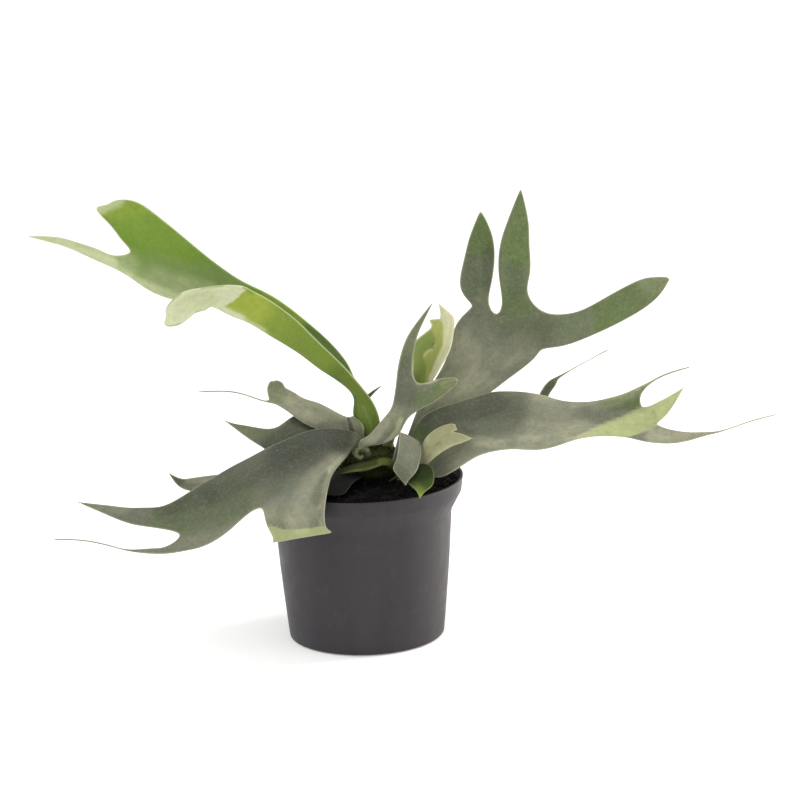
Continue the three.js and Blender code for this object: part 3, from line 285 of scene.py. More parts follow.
        (1.6, 1, (-28, 122, -1), (-30, 143, 9.5)), (1.4, 1, (-44, 117, -2), (-44, 152.5, 12)),
        (1.3, 0, (-62, 112, -5), (-64, 119, -2), (-67.5, 126.7, 1), (-64, 136, 4), (-57.3, 145.3, 8)),
        limb((1.2, 1, (-84, 104, -8), (-84, 116, -3)), (1.1, 1, (-103, 101, -9), (-103, 112.5, -5)),
             (1, 0, (-121, 102.2, -9), (-118, 111, -6)), (1, 0, (-130.3, 107.4, -8.5), (-127, 110.7, -7)),
             (0.9, 0, (-134.8, 113.4, -7), (-133.4, 114.2, -7))),
        limb((1.1, 1, (-75, 134.8, 2), (-73, 144.8, 6)), (1, 0, (-92.7, 148, 4), (-92.7, 149.8, 4))),
    ),
    "frond_back_small": limb(
        (2, 0, (9, 117, 15), (13, 117, 15)), (1.6, 0, (6, 134, 19), (11, 134, 19)),
        (1.4, 0, (1, 148, 20), (6, 148, 21)), (1.2, 0, (0, 158, 20), (5, 157, 21)),
        (1, 0, (5, 165.5, 19), (7.5, 163.5, 19)), (0.9, 0, (13.5, 171, 17), (14.2, 169.8, 17)),
    ),
    "frond_back_right": limb(
        (2.6, 0, (18, 116, 15), (23, 114, 12)), (2, 0, (26, 126, 18), (31, 121, 15)),
        (1.7, 1, (40, 135, 24), (47, 126, 19)), (1.5, 1, (61, 145, 32), (67, 131, 25)),
        (1.4, 1, (84, 152.5, 38), (88, 133, 29)),
        (1.3, 0, (106, 158, 41), (110, 152.5, 39), (116, 147, 37), (116, 139, 34), (113, 131, 32)),
        limb((1.1, 0, (121, 157, 40), (127, 153, 38)), (1.1, 0, (127, 164, 38), (132, 161, 37)),
             (1, 0, (133, 171, 37), (137.5, 168.8, 36)), (0.9, 0, (144, 177, 36), (145, 175.6, 36)),
             (0.9, 0, (172, 190.8, 33), (172, 189.6, 33))),
        limb((1.1, 1, (127, 147, 36), (127, 134, 31)), (1.1, 1, (143, 149.5, 35), (143, 137.5, 31)),
             (1, 0, (160, 150.5, 33), (160, 143, 31)), (0.9, 0, (178, 152, 31), (178, 150.5, 31))),
    ),
    "frond_small_cup": limb(
        (1.8, 0, (-1, 120, 1), (2, 120, 2)), (1.6, 0, (-3, 131, 1.8), (1.5, 131, 2.8)),
        (1.4, 0, (-8, 139, 1.5), (2, 139, 2.2)), (1.2, 0.5, (-9.5, 145.5, 1.5), (1.5, 144.5, 2.2)),
        (1, 0, (-9.8, 149.8, 2), (-4.5, 150.2, 2.5)),
    ),
    "frond_small_grey": limb(
        (2.4, 0, (24, 112, -7), (20, 112, -11)), (2, 0, (30, 127, -10), (23.5, 126, -15)),
        (1.7, 0, (36, 133.3, -16), (27, 138, -18)), (1.5, 1, (41.3, 128.5, -26), (26.6, 132, -26)),
        (1.4, 2, (40.5, 118.5, -35), (24.2, 119.5, -35)), (1.2, 1, (37.5, 110.5, -42), (22.1, 112.2, -42)),
        (1, 0, (32, 104.5, -47), (28, 104.5, -47)),
    ),
    "frond_small_pale": limb(
        (2.4, 0, (22, 108, -6), (24, 105, -10)), (1.8, 0, (32, 113, -11), (34, 107.5, -15)),
        (1.4, 0, (41, 124, -18), (43, 113, -23)), (1.3, 1, (46, 134.5, -23), (52, 121, -30)),
        (1.2, 0, (57.5, 141.9, -23.5), (61.5, 140.5, -25.5), (64, 137.5, -27.5), (64, 132.5, -30),
         (62.5, 127.3, -31.5)),
        limb((1, 0, (65.4, 142.7, -22.5), (66.8, 138.9, -26))),
        limb((1, 0, (70, 135.8, -28.5), (69.5, 129.6, -31)),
             (0.9, 0, (76.6, 133.4, -30), (76.9, 131.8, -30))),
    ),
    "frond_small_green": limb(
        (2.2, 0, (21, 104, -9), (17, 103, -12)), (1.8, 0, (30, 112, -21), (23.5, 107, -26)),
        (1.4, 1, (46, 115, -32), (29.5, 106, -37)), (1.2, 1, (50, 106, -41), (31.5, 103.3, -43.5)),
        (1.1, 0, (48.4, 100.2, -50), (35, 99.6, -51.5)), (1, 0, (45, 97.6, -57.5), (37.3, 97.2, -59)),
        (1, 0, (41.2, 93.6, -61.5), (39, 93.2, -62)),
    ),
    "frond_back_left": limb(
        (2.4, 0, (-4.5, 116, 11.5), (-1, 116, 15.5)), (2, 1, (-13, 124, 18), (-9, 129, 24)),
        (1.6, 2, (-30, 127, 30), (-26, 134, 40)), (1.4, 2, (-52, 125, 42), (-48, 134, 56)),
        (1.3, 2, (-72, 113, 52), (-68, 125, 70)),
        (1.2, 0, (-88, 92, 58), (-90, 98, 64), (-92, 105, 70), (-88, 110, 76), (-84, 115, 82)),
        limb((1.2, 1, (-101, 81, 61), (-104, 93, 67)), (1.1, 1, (-113, 71, 62), (-116, 80, 66)),
             (0.9, 0, (-126, 65, 61), (-127, 67, 61))),
        limb((1.1, 1, (-100, 99, 75), (-97, 107, 82)), (0.9, 0, (-121, 86, 77), (-121, 88, 77))),
    ),
    "frond_back": limb(
        (2.6, 0, (2, 112, 17), (8, 112, 18)), (2, 1, (0, 124, 27), (9, 124, 28)),
        (1.6, 2, (-4, 131, 45), (11, 131, 46)), (1.4, 2, (-9, 131, 68), (15, 131, 70)),
        (1.3, 2, (-16, 124, 92), (22, 124, 94)),
        (1.2, 0, (-24, 110, 112), (-12, 109, 113), (1, 106, 116), (13, 109, 114), (29, 111, 113)),
        limb((1.2, 1, (-37, 92, 126), (-18, 90, 129)), (1.1, 1, (-44, 76, 134), (-32, 74, 135)),
             (0.9, 0, (-47, 62, 138), (-45, 61.5, 138))),
        limb((1.2, 1, (21, 94, 129), (40, 95, 128)), (1.1, 1, (35, 79, 136), (48, 81, 135)),
             (0.9, 0, (47, 67, 140), (49, 67.5, 140))),
    ),
    "frond_back_low": limb(
        (2.4, 0, (22, 110, 13), (25, 108, 8)), (1.8, 1, (30, 123, 26), (36, 119, 20)),
        (1.5, 1, (38, 130, 46), (48, 126, 40)), (1.3, 2, (44, 124, 74), (60, 119, 66)),
        (1.2, 2, (44, 106, 98), (63, 102, 92)), (1.1, 1, (42, 88, 112), (60, 86, 110)),
        (1, 1, (44, 72, 120), (56, 71, 119)), (0.9, 0, (49, 58, 124), (51, 58, 124)),
    ),
    "shield_front": limb(
        (2.2, 0, (-5, 113, -11), (-1, 113.5, -12), (3, 114, -12.8), (7, 114.5, -13), (11, 114.5, -12.8),
         (15, 114.5, -12), (18, 114, -11)),
        (1.6, 0, (-13, 114, -18), (-8, 116, -21), (-2, 117.3, -23), (5, 118.3, -24), (11.5, 120, -23),
         (18, 120.6, -20), (21.5, 118, -17)),
        (1.1, 0, (-19, 110.8, -24), (-8, 111.6, -29), (-2, 112, -31), (5, 112.8, -32), (11.5, 115.2, -31),
         (17.5, 115.6, -28), (21, 113.2, -24)), columns=7,
    ),
    "shield_left": limb(
        (2, 0, (-10, 112, 6), (-9, 111, -1), (-7, 110, -7), (-4, 109, -11), (1, 108.5, -14)),
        (1.5, 0, (-26, 113, 8), (-25, 110.5, -5), (-20, 108, -17), (-13, 106.5, -25), (-4, 106, -29)),
        (1.3, 0, (-40, 111, 6), (-38, 107, -11), (-31, 103.5, -27), (-21, 101, -38), (-9, 101.5, -40)),
        (1.1, 0, (-50, 109, 2), (-47, 104.5, -17), (-39, 100.5, -34), (-28, 97, -45), (-15, 96, -48)),
        columns=5,
    ),
    "shield_back": limb(
        (2, 0, (15, 111.5, 17), (10, 112, 19), (5, 112, 20), (-1, 111.5, 18), (-6, 111, 15)),
        (1.5, 0, (26, 112.5, 24), (17, 114, 28), (6, 115, 30), (-7, 114, 29), (-17, 112, 24)),
        (1.1, 0, (36, 114, 32), (22, 115.5, 40), (6, 117, 44), (-11, 115.5, 41), (-26, 112, 33)), columns=5,
    ),
}

# Tones: each frond's felt is painted over with these, in this order. The dark tone is painted shade; lime and
# pale are partly the fern's own colours and partly painted light
TONES = ("fresh", "lime", "pale", "deep")
STROKE_SOFTNESS = 0.6
GRAIN_WIDTH = 40
EVERYWHERE = (-1, 2)


def coat(strokes=(), fresh=0, lime=0, pale=0, deep=0):
    """Strokes of (tone, strength, reach, marks, optional limits across) and a frond's tones all over.

    A stroke's marks are (across, up), as they are seen, and it covers only what faces the eye. A
    stroke that ends where it starts is a patch, whose inside is covered too. Strokes and amounts of the
    dark tone are painted shade.
    """
    return SimpleNamespace(strokes=strokes, base=(fresh, lime, pale, deep))


# The dark tone's strokes and amounts below are painted shade: under and between fronds, in folds and
# channels, and on faces turned from the light
COATS = {
    # High left frond: the lime on the near half of its rolled stalk stands partly for light through the thin
    # blade, and the dark strokes on the far half are painted shade inside the channel
    "frond_high_left": coat([
        ("fresh", 1, 3, [(-70, 250), (-76, 242), (-110, 232), (-150, 240), (-235, 282), (-235, 288),
            (-190, 306), (-150, 312), (-120, 290), (-70, 250)], 0.5, 1),
        ("felt", 0.7, 20, [(-88, 247), (-115, 246), (-142, 254)], 0.5, 1),
        ("fresh", 1, 3, [(-10, 118), (18, 118), (16, 150), (8, 170), (-8, 192), (-25, 208), (-45, 225),
            (-60, 238), (-73, 244), (-80, 241), (-85, 236), (-92, 232), (-88, 222), (-60, 204), (-15, 173),
            (-10, 118)]),
        ("lime", 1, 24, [(-90, 237), (-76, 231)], 0, 0.6),
        ("lime", 0.4, 30, [(-66, 224), (-40, 205), (-15, 184)], 0, 0.6),
        ("lime", 0.5, 16, [(-4, 168), (6, 150), (10, 128)], 0, 0.6),
        ("deep", 0.15, 26, [(-48, 212), (-38, 203), (-22, 190)], 0, 0.6),
        ("deep", 0.2, 26, [(-34, 200), (-22, 190), (9, 130)], 0, 0.6),
        ("deep", 0.5, 22, [(-8, 174), (0, 163), (7, 150), (10, 130)], 0, 0.6),
        ("pale", 0.9, 5, [(-104, 231), (-92, 226), (-82, 221)], 0, 0.6),
        ("pale", 0.5, 3.5, [(-86, 223), (-76, 217.5), (-66, 212)], 0, 0.6),
        ("pale", 1, 1.5, [(-92, 232), (-85, 236), (-80, 241), (-73, 246), (-90, 250), (-140, 240),
            (-140, 212), (-112, 220), (-92, 232)], 0, 0.5),
        ("felt", 0.2, 8, [(-104, 237), (-122, 232)], 0, 0.5),
        ("pale", 0.3, 16, [(-108, 238), (-122, 241), (-140, 248)], 0.5, 1),
        ("pale", 0.4, 7, [(-106, 232), (-127, 236), (-148, 245), (-166, 255)], 0.5, 1),
        ("pale", 0.4, 17, [(-164, 260), (-180, 267), (-200, 275)], 0.5, 1),
        ("pale", 0.6, 8, [(-172, 262), (-200, 275), (-230, 284)], 0.5, 1),
        ("lime", 0.35, 14, [(-182, 300), (-170, 303), (-152, 305)], 0.4, 1),
        ("pale", 0.5, 9, [(-188, 302), (-179, 303), (-166, 309)], 0.3, 1),
        ("deep", 0.3, 2.5, [(-176, 296), (-166, 283), (-160, 273)]),
        ("felt", 0.8, 9, [(15, 140), (9, 163), (1, 176), (-8, 190), (-22, 207), (-32, 216)], 0.55, 1),
        ("deep", 0.7, 9, [(15, 140), (13, 150), (9, 163), (1, 176), (-8, 190), (-22, 207),
            (-32, 216)], 0.55, 1),
        ("lime", 0.4, 14, [(-42, 222), (-56, 234)], 0.5, 1),
        ("deep", 0.2, 14, [(-134, 254), (-146, 262), (-158, 270)], 0.4, 1),
        ("deep", 0.5, 10, [(12, 118), (12, 134)]),
        ("deep", 0.8, 4, [(-5, 143), (-5, 163)]),
        ("pale", 0.35, 1.2, [(2, 158), (6, 147), (9, 138)]),
    ]),
    "frond_tall_right": coat([
        ("fresh", 1, 16, [(88, 270), (89, 290)]),
        ("fresh", 0.35, 18, [(86, 240), (88, 260)]),
        ("fresh", 0.8, 15, [(115, 262), (117, 300)]),
        ("fresh", 0.5, 20, [(112, 230), (113, 262)]),
        ("fresh", 0.75, 5, [(172, 202), (166, 228), (198, 246), (222, 246), (220, 228), (200, 212),
            (172, 202)]),
        ("pale", 0.2, 12, [(206, 238), (217, 238)]),
        ("fresh", 0.4, 22, [(108, 220), (122, 216), (160, 212)]),
        ("deep", 0.45, 9, [(94, 240), (95, 262)]),
        ("deep", 0.25, 14, [(87, 248), (88, 276)]),
        ("deep", 0.22, 16, [(108, 203), (128, 205)]),
        ("deep", 0.3, 9, [(112, 234), (111, 250)]),
        ("deep", 0.3, 9, [(80, 236), (79, 256)]),
        ("deep", 0.15, 22, [(92, 225), (125, 212)]),
        ("pale", 0.45, 24, [(50, 157), (64, 176), (70, 188)]),
        ("pale", 0.35, 18, [(66, 160), (84, 168)]),
        ("pale", 0.2, 14, [(98, 188), (116, 196)]),
        ("pale", 0.2, 9, [(68, 192), (74, 206)]),
    ], deep=0.1),
    # Painted shade and shadow in the folded channel near the foot, under the pale lobe, and on the upper
    # half; the pale strokes are partly painted light
    "frond_right": coat([
        ("deep", 0.5, 9, [(48, 144), (55, 151), (65, 157), (88, 162), (98, 157), (78, 150), (62, 150),
            (52, 142), (48, 134), (48, 144)]),
        ("fresh", 0.7, 8, [(38, 138), (47, 134)]),
        ("deep", 0.35, 16, [(92, 156), (108, 155)]),
        ("deep", 0.3, 18, [(68, 142), (96, 146), (106, 147)]),
        ("deep", 0.2, 12, [(116, 154), (134, 151), (168, 150)]),
        ("deep", 0.2, 9, [(156, 150), (168, 144)]),
        ("deep", 0.35, 8, [(62, 136), (74, 135)]),
        ("pale", 0.25, 12, [(66, 120), (80, 126), (96, 127), (112, 127), (140, 128)]),
        ("pale", 0.2, 18, [(126, 150), (142, 149)]),
        ("pale", 0.2, 12, [(118, 135), (138, 134), (156, 136)]),
        ("pale", 0.25, 9, [(146, 132), (158, 138)]),
        ("pale", 0.25, 5, [(122, 161), (136, 161)]),
        ("pale", 0.45, 5, [(66, 136), (80, 131), (98, 128)]),
        ("fresh", 0.8, 10, [(172, 156), (188, 157), (197, 154)]),
        ("deep", 0.25, 8, [(180, 148), (196, 153)]),
        ("pale", 0.25, 9, [(166, 155), (174, 157), (190, 162)]),
        ("pale", 0.4, 4, [(150, 154), (170, 158), (188, 164), (206, 173)]),
        ("lime", 0.5, 4, [(180, 160), (195, 166), (206, 171)]),
        ("lime", 1, 2, [(150, 130), (168, 138), (185, 144), (198, 150), (214, 158), (229, 168), (224, 150),
            (208, 139), (196, 134), (176, 129), (150, 130)]),
        ("pale", 0.55, 9, [(205, 131), (240, 131), (289, 142)]),
    ]),
    # Painted shade all over this frond, which faces up into the light, strongest along its top and further
    # out
    "frond_front_left": coat([
        ("deep", 1, 15, [(-15, 137), (-30, 139), (-52, 130)]),
        ("deep", 0.7, 18, [(-20, 131), (-42, 127), (-56, 120)]),
        ("deep", 0.5, 15, [(-45, 130), (-75, 117), (-105, 102)]),
        ("deep", 0.3, 18, [(-70, 102), (-100, 94), (-126, 90)]),
        ("deep", 0.4, 10, [(-108, 98), (-124, 95), (-140, 90)]),
        ("felt", 0.8, 13, [(-18, 116), (-29, 107), (-38, 96), (-45, 78)]),
        ("pale", 0.3, 14, [(-18, 116), (-29, 107), (-38, 96), (-46, 78)]),
        ("deep", 0.45, 7, [(-25, 107), (-28, 100), (-32, 94)]),
        ("pale", 0.3, 14, [(-52, 84), (-70, 91)]),
        ("pale", 0.35, 8, [(-6, 133), (-3, 129)]),
        ("pale", 0.3, 8, [(-168, 92), (-190, 96)]),
        ("fresh", 0.4, 22, [(-85, 96), (-115, 86), (-135, 84)]),
        ("fresh", 0.3, 10, [(-58, 80), (-60, 70)]),
        ("pale", 0.7, 2.2, [(-6, 129), (-21, 116), (-26, 103), (-29, 88), (-29, 76)]),
        ("pale", 0.45, 1.5, [(-34, 142), (-52, 137), (-70, 129)]),
        ("pale", 0.25, 12, [(-70, 82), (-95, 68), (-125, 61), (-150, 60)]),
        ("lime", 1, 2, [(-22, 74.5), (-40, 71.5), (-56, 71.5), (-66, 75), (-66, 60), (-22, 66), (-22, 74.5)]),
    ], deep=0.25),
    "frond_centre": coat([
        ("deep", 0.3, 14, [(30, 165), (28, 185)]),
        ("fresh", 0.35, 12, [(32, 190), (40, 212), (52, 226)]),
        ("fresh", 0.5, 7, [(56, 168), (68, 175)]),
        ("lime", 0.2, 5, [(60, 170), (68, 174)]),
        ("fresh", 0.45, 9, [(42, 160), (56, 166)]),
        ("pale", 0.35, 9, [(3, 132), (14, 143), (24, 152)]),
        ("pale", 0.5, 4, [(3, 130), (10, 136), (18, 146)]),
        ("fresh", 0.5, 6, [(22, 138), (27, 147)]),
        ("pale", 0.75, 2.5, [(18, 132), (24.5, 138.5), (28, 147)]),
        ("pale", 0.8, 1.8, [(38, 184), (38, 178), (41, 173.5), (48, 172.5), (53, 174)]),
    ], deep=0.06),
    # The dark strokes are painted shade: inside the curl and down the stalk near the crown
    "frond_curled": coat([
        ("lime", 1, 1.2, [(50, 220), (62, 220), (64, 205), (60, 188), (50, 173), (46.5, 173), (48.5, 185.5),
            (46.5, 189), (45.3, 191.5), (47, 193.7), (50.5, 195), (53.3, 198), (55, 204), (53, 209),
            (49, 211), (50, 220)]),
        ("felt", 0.3, 5, [(48, 187), (54, 180)]),
        ("pale", 0.8, 2.8, [(58, 228), (62, 224), (66, 216), (67, 207), (63, 194), (57, 184), (50, 175),
            (55, 186), (61, 198), (62, 212), (59, 222), (58, 228)]),
        ("pale", 0.6, 2.5, [(64, 222), (68, 212), (65, 199)]),
        ("pale", 0.5, 1.3, [(46, 191.5), (48, 194), (51, 195.5), (53.5, 198.5)]),
        ("deep", 0.6, 1.8, [(52, 197.3), (52.6, 199.5)]),
        ("deep", 0.9, 10, [(18, 120), (23, 138)]),
        ("deep", 0.6, 8, [(24, 140), (30, 156)]),
    ], fresh=1),
    "frond_left_upper": coat([
        ("pale", 0.45, 13, [(-44, 161), (-30, 154), (-14, 146)]),
        ("fresh", 0.4, 9, [(-58, 166), (-59, 177)]),
        ("deep", 0.25, 8, [(-12, 150), (-28, 158), (-42, 167)]),
        ("deep", 0.35, 8, [(-8, 141), (-25, 143)]),
    ], pale=0.15),
    "frond_left_low": coat([
        ("deep", 0.5, 12, [(-42, 145), (-62, 130)]),
        ("deep", 1, 5, [(-46, 150), (-38, 146), (-30, 142)]),
        ("fresh", 0.3, 9, [(-72, 142), (-90, 149)]),
        ("pale", 0.3, 6, [(-84, 114), (-120, 111)]),
        ("deep", 0.6, 6, [(-129, 109), (-135, 114)]),
    ]),
    # Painted shade over the fronds at the back
    "frond_back_small": coat(deep=0.7),
    "frond_back_right": coat([
        ("felt", 1, 12, [(140, 178), (150, 186), (178, 198)]),
        ("pale", 1, 12, [(150, 186), (178, 198)]),
    ], fresh=0.3, deep=0.55),
    "frond_small_cup": coat([
        ("deep", 0.8, 2.5, [(-9, 148), (-6, 139)]),
        ("pale", 0.5, 2, [(1.5, 146), (2.5, 139)]),
    ], fresh=0.35, pale=0.15),
    "frond_small_grey": coat([
        ("pale", 0.2, 12, [(30, 134), (34, 126)]),
        ("deep", 0.3, 7, [(24, 112), (30, 105)]),
    ], deep=0.18),
    # Painted shade at the foot and in a small shadow; the strong pale strokes lighten the lobe's shaded left
    # side as painted light
    "frond_small_pale": coat([
        ("deep", 0.6, 2.2, [(53.3, 129.4)]),
        ("deep", 0.4, 5, [(30, 110), (38, 113)]),
        ("pale", 0.9, 6, [(41, 113), (42, 123)]),
        ("pale", 0.4, 3, [(41, 124), (46, 134)]),
        ("pale", 0.35, 3, [(45, 116), (60, 126), (76, 132)]),
    ], deep=0.1),
    # Painted shade over the tongue's upper part, where it lies in shade
    "frond_small_green": coat([
        ("deep", 1, 12, [(12, 104), (26, 107), (44, 113)]),
        ("deep", 0.6, 14, [(36, 108), (46, 104)]),
        ("lime", 0.9, 7, [(33, 102), (37, 98), (41, 94)]),
        ("pale", 0.3, 1.4, [(31, 103.5), (36, 98), (39.5, 93)]),
    ], fresh=1),
    "frond_back_left": coat(fresh=0.2),
    "frond_back": coat(fresh=0.15),
    "frond_back_low": coat(fresh=0.15),
    # Front shield: painted shade over most of it, where it lies in shade under the fronds, and a brighter
    # band along its lower margin
    "shield_front": coat([
        ("felt", 0.85, 4, [(-22, 109.5), (-10, 112), (0, 115), (9, 117), (14, 118.5), (22, 117.5)]),
        ("lime", 0.5, 3, [(13, 118.6), (21, 118.5)]),
        ("pale", 0.35, 1.2, [(-14, 110.5), (-6, 112.4), (2, 113.4), (8, 114.6), (13, 116), (20, 116)]),
    ], deep=0.95),
    # Left shield: painted shadow, as it lies in the shadow of the front left frond
    "shield_left": coat([
        ("deep", 0.9, 14, [(-4, 100), (-14, 104)]),
    ], deep=0.5),
    "shield_back": coat(deep=0.3),
}

# Fiddlehead bud: a young frond rolled up at its tip, on a short stalk that bends down
BUD_PATH = [(4.5, 121, -11.5), (4, 125.6, -15), (1, 128.2, -17.5), (-2.8, 126.8, -19),
            (-3.8, 123.6, -19.6), (-1.4, 121.4, -20), (1, 122.6, -19.8)]
BUD_RADII = (1.7, 1.7, 1.6, 1.5, 1.4, 1.3, 0.9)
BUD_SIDES = 20
BUD_STEPS = 60

# Noises of the finishes: turns for each metre, detail and roughness
CLOUDS = (210, 4)
WARM_CLOUDS = (70, 4)
HAIRS = (520, 3, 0.6)
BROAD_STREAKS = (260, 3)
FINE_STREAKS = (900, 2)
STREAK_STRETCH = (1, 0.12, 1)
EARTH_GRAIN = (700, 6, 0.7)
FLOW_MARKS = (60, 3)
FLOW_STRETCH = (1, 1, 0.15)
DUST = (90, 5, 0.65)
PLASTIC_GRAIN = (2500, 2)
FLOOR_CLOUDS = (3, 2)

# From which value of a noise to which one something sets in
WHOLE_NOISE = (0.3, 0.7)
HALF_NOISE = (0.35, 0.65)
WARM_RANGE = (0.42, 0.62)
LIGHT_HAIRS = (0.5, 0.75)
DARK_HAIRS = (0.48, 0.28)
LIGHT_CRUMBS = (0.8, 0.9)
DUST_RANGE = (0.55, 0.8)

# Roughness where a noise is low and where it is high
FELT_ROUGHNESS = (0.62, 0.86)
EARTH_ROUGHNESS = (0.8, 1.0)
PLASTIC_ROUGHNESS = (0.42, 0.58)

# Shares of what is mixed into the finishes
UNDERSIDE_SHARE = 0.75
WEAR_BY_STREAKS = 0.7
WEAR_BY_CLOUDS = 0.4
FINE_SHARE = 0.7
FINE_RELIEF = 0.6
LOW_SHADE_SHARE = 0.95
DUST_SHARE = 0.3

# Relief of the finishes: its depth in millimetres and its strength
FELT_RELIEF = (0.15, 0.6)
PLASTIC_RELIEF = (0.03, 0.5)

# Where a blade's pale margin, partly a painted highlight, fades out from its edge, and over how far the
# painted shade low on the crown fades in, in millimetres
MARGIN_HIGHLIGHT = (0.15, 0.8)
LOW_SHADE_FADE = 4
SHARP_ANGLE = 40

# Colours: those of the felts stand in the order of their tones. A felt's sixth colour is its painted shade
# and also the colour of its dark specks; its lime and pale colours are partly painted light
WHITE = "ffffff"
# Near black for the painted shade low on the crown
LOW_SHADE = "060505"
PLASTIC = ("242024", "2a262a")
DUST_COLOUR = "4e494d"
PALE_FLOOR = ("f6f6f5", "fbfbfa")
FELT_TONES = ("Felt", "Warm", "Fresh", "Lime", "Pale", "Deep", "Underside", "Hair")
GREY = "6c725d 7e7468 5b7038 a9b07a aaa88d 363a2b 7e8070 9b9b88"
GREEN = "7b8e55 7b8e55 6c892a 93a036 c8cca6 3f5918 849452 98ac70"
YOUNG = "8a9a55 8a9a55 82944a a2a75a d6d3b2 64703a c6c29c b8bb8c"
PALE = "94956e 968a6c 6c7062 a9b06c b6b590 6f5f4a a09e84 b4b292"
TONGUE = "566a2c 566a2c 4a6222 7f9442 98a268 253012 66764a 6c8044"
SHIELD = "4a5622 4c5422 465a24 6f7c36 868c58 191e0c 333a1c 5f6c34"
DARK_SHIELD = "262820 2a2820 383e2e 4c5040 4c4f44 0c0d0a 242520 46483f"
EARTH_TONES = ("Dark", "Middle", "Light")

# What is strewn over the soil, the crown and the bud: a small shape, its lean and squash, how many stand
# on a square metre, their sizes, and where: above a height, where it isn't too steep, out to a reach
CRUMBS = {"shape": ("GeometryNodeMeshIcoSphere", {"Radius": 0.5, "Subdivisions": 1}),
          "lean": math.pi, "squash": ((0.6, 0.5, 0.4), (1.3, 1.0, 0.9)), "density": 230000.0,
          "sizes": (0.9, 3.6), "lowest": SOIL_EDGE_HEIGHT, "steepest": 0.3, "reach": 62.5, "seed": 11}
FIBRES = {"shape": ("GeometryNodeMeshCylinder", {"Vertices": 4, "Radius": 0.04, "Depth": 1.0}),
          "lean": math.pi / 2, "squash": ((1, 1, 0.5), (1.4, 1.4, 1.2)), "density": 22000.0,
          "sizes": (4, 9), "lowest": SOIL_EDGE_HEIGHT, "steepest": 0.3, "reach": 59, "seed": 12}
SCALES = {"shape": ("GeometryNodeMeshCone", {"Vertices": 4, "Radius Top": 0.0, "Radius Bottom": 0.22,
                                             "Depth": 1.0}),
          "lean": 1.1, "squash": ((0.8, 0.3, 0.7), (1.2, 0.6, 1.3)), "density": 350000.0,
          "sizes": (1.6, 3.4), "lowest": SOIL_EDGE_HEIGHT - 1, "steepest": -0.6, "reach": 1000, "seed": 21}
BUD_HAIRS = {"shape": ("GeometryNodeMeshCone", {"Vertices": 3, "Radius Top": 0.0, "Radius Bottom": 0.05,
                                                "Depth": 1.0}),
             "lean": 0.8, "squash": ((0.7, 0.7, 0.6), (1.1, 1.1, 1.3)), "density": 4000000.0,
             "sizes": (0.8, 1.5), "lowest": 0, "steepest": -2.0, "reach": 1000, "seed": 31}

# Light
FLOOR_REACH = 30000
FLOOR_GLOW = 0.2
SKY_STRENGTH = 0.8
SUN_STRENGTH = 0.8
SUN_BREADTH = 60
SUN_FROM = (-0.35, -0.6, 0.8)
PANEL_AIM = (0, 0, 0.1)
PANEL_SIZE = (0.5, 1.2)
PANELS = {"left": ((-1.3, 0.5, 0.5), 6, (1, 1, 1)), "right": ((1.2, 0.35, 0.5), 22, (1, 0.93, 0.88))}


def unit(vector):
    return vector / max(np.linalg.norm(vector), TINY)


def place(mark):
    """The real place of a mark, in millimetres."""
    across, up, depth = mark
    seen = across * RIGHT + up * UP
    return seen + (depth - seen[1]) / (EYE[1] - seen[1]) * (EYE - seen)


def sight(places):
    """Where places are seen: across and up, as in a mark."""
    out = places - EYE
    ahead = out @ AHEAD
    across = EYE_ACROSS + out @ RIGHT / ahead * SIGHT_DISTANCE
    up = EYE_UP + out @ UP / ahead * SIGHT_DISTANCE
    return np.stack([across, up], axis=1)


def eased(share):
    share = np.clip(share, 0, 1)
    return share * share * (3 - 2 * share)


def share_of(part):
    """A limb's share of the width where it forks off: as it was given, or the number of its tips."""
    return part.share or sum(share_of(fork) for fork in part.forks) or 1


def fractions_of(part):
    """Where a limb's points lie between its left edge, 0, and its right edge, 1."""
    if not part.forks:
        return list(np.linspace(0, 1, part.columns or 3))
    whole = sum(share_of(fork) for fork in part.forks)
    fractions = [0.0]
    for fork in part.forks:
        start = fractions[-1]
        fractions += [start + inner * share_of(fork) / whole for inner in fractions_of(fork)[1:]]
    return fractions


def middle_of(rung):
    return (place(rung[2]) + place(rung[-1])) / 2


def rung_points(rung, fractions, along, is_tip):
    """A rung's points as (x, y, z, thickness). At a narrow tip the middle runs ahead of the edges, and
    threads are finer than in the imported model."""
    thickness, arch, *marks = rung
    placed = [place(mark) for mark in marks]
    left, right = placed[0], placed[-1]
    across = right - left
    width = np.linalg.norm(across)
    lift = unit(np.cross(across, along))
    ahead = TIP_LENGTH * width if is_tip and width < TIP_WIDTH else 0
    fine = THREAD_SHARE + (1 - THREAD_SHARE) * eased((width - THREAD_WIDTH) / THREAD_WIDTH)
    if len(placed) == 2:
        left, right = (left + right) / 2 - across * fine / 2, (left + right) / 2 + across * fine / 2
    rows = []
    for k, at in enumerate(fractions):
        hump = 4 * at * (1 - at)
        if len(placed) == len(fractions):
            point = placed[k]
        elif len(placed) == 3:
            point = left * (1 - at) * (1 - 2 * at) + placed[1] * hump + right * at * (2 * at - 1)
        else:
            point = left + (right - left) * at
        point = point + lift * arch * hump + along * ahead * hump
        rows.append([*point, fine * (EDGE_THICKNESS + (thickness - EDGE_THICKNESS) * hump)])
    return rows


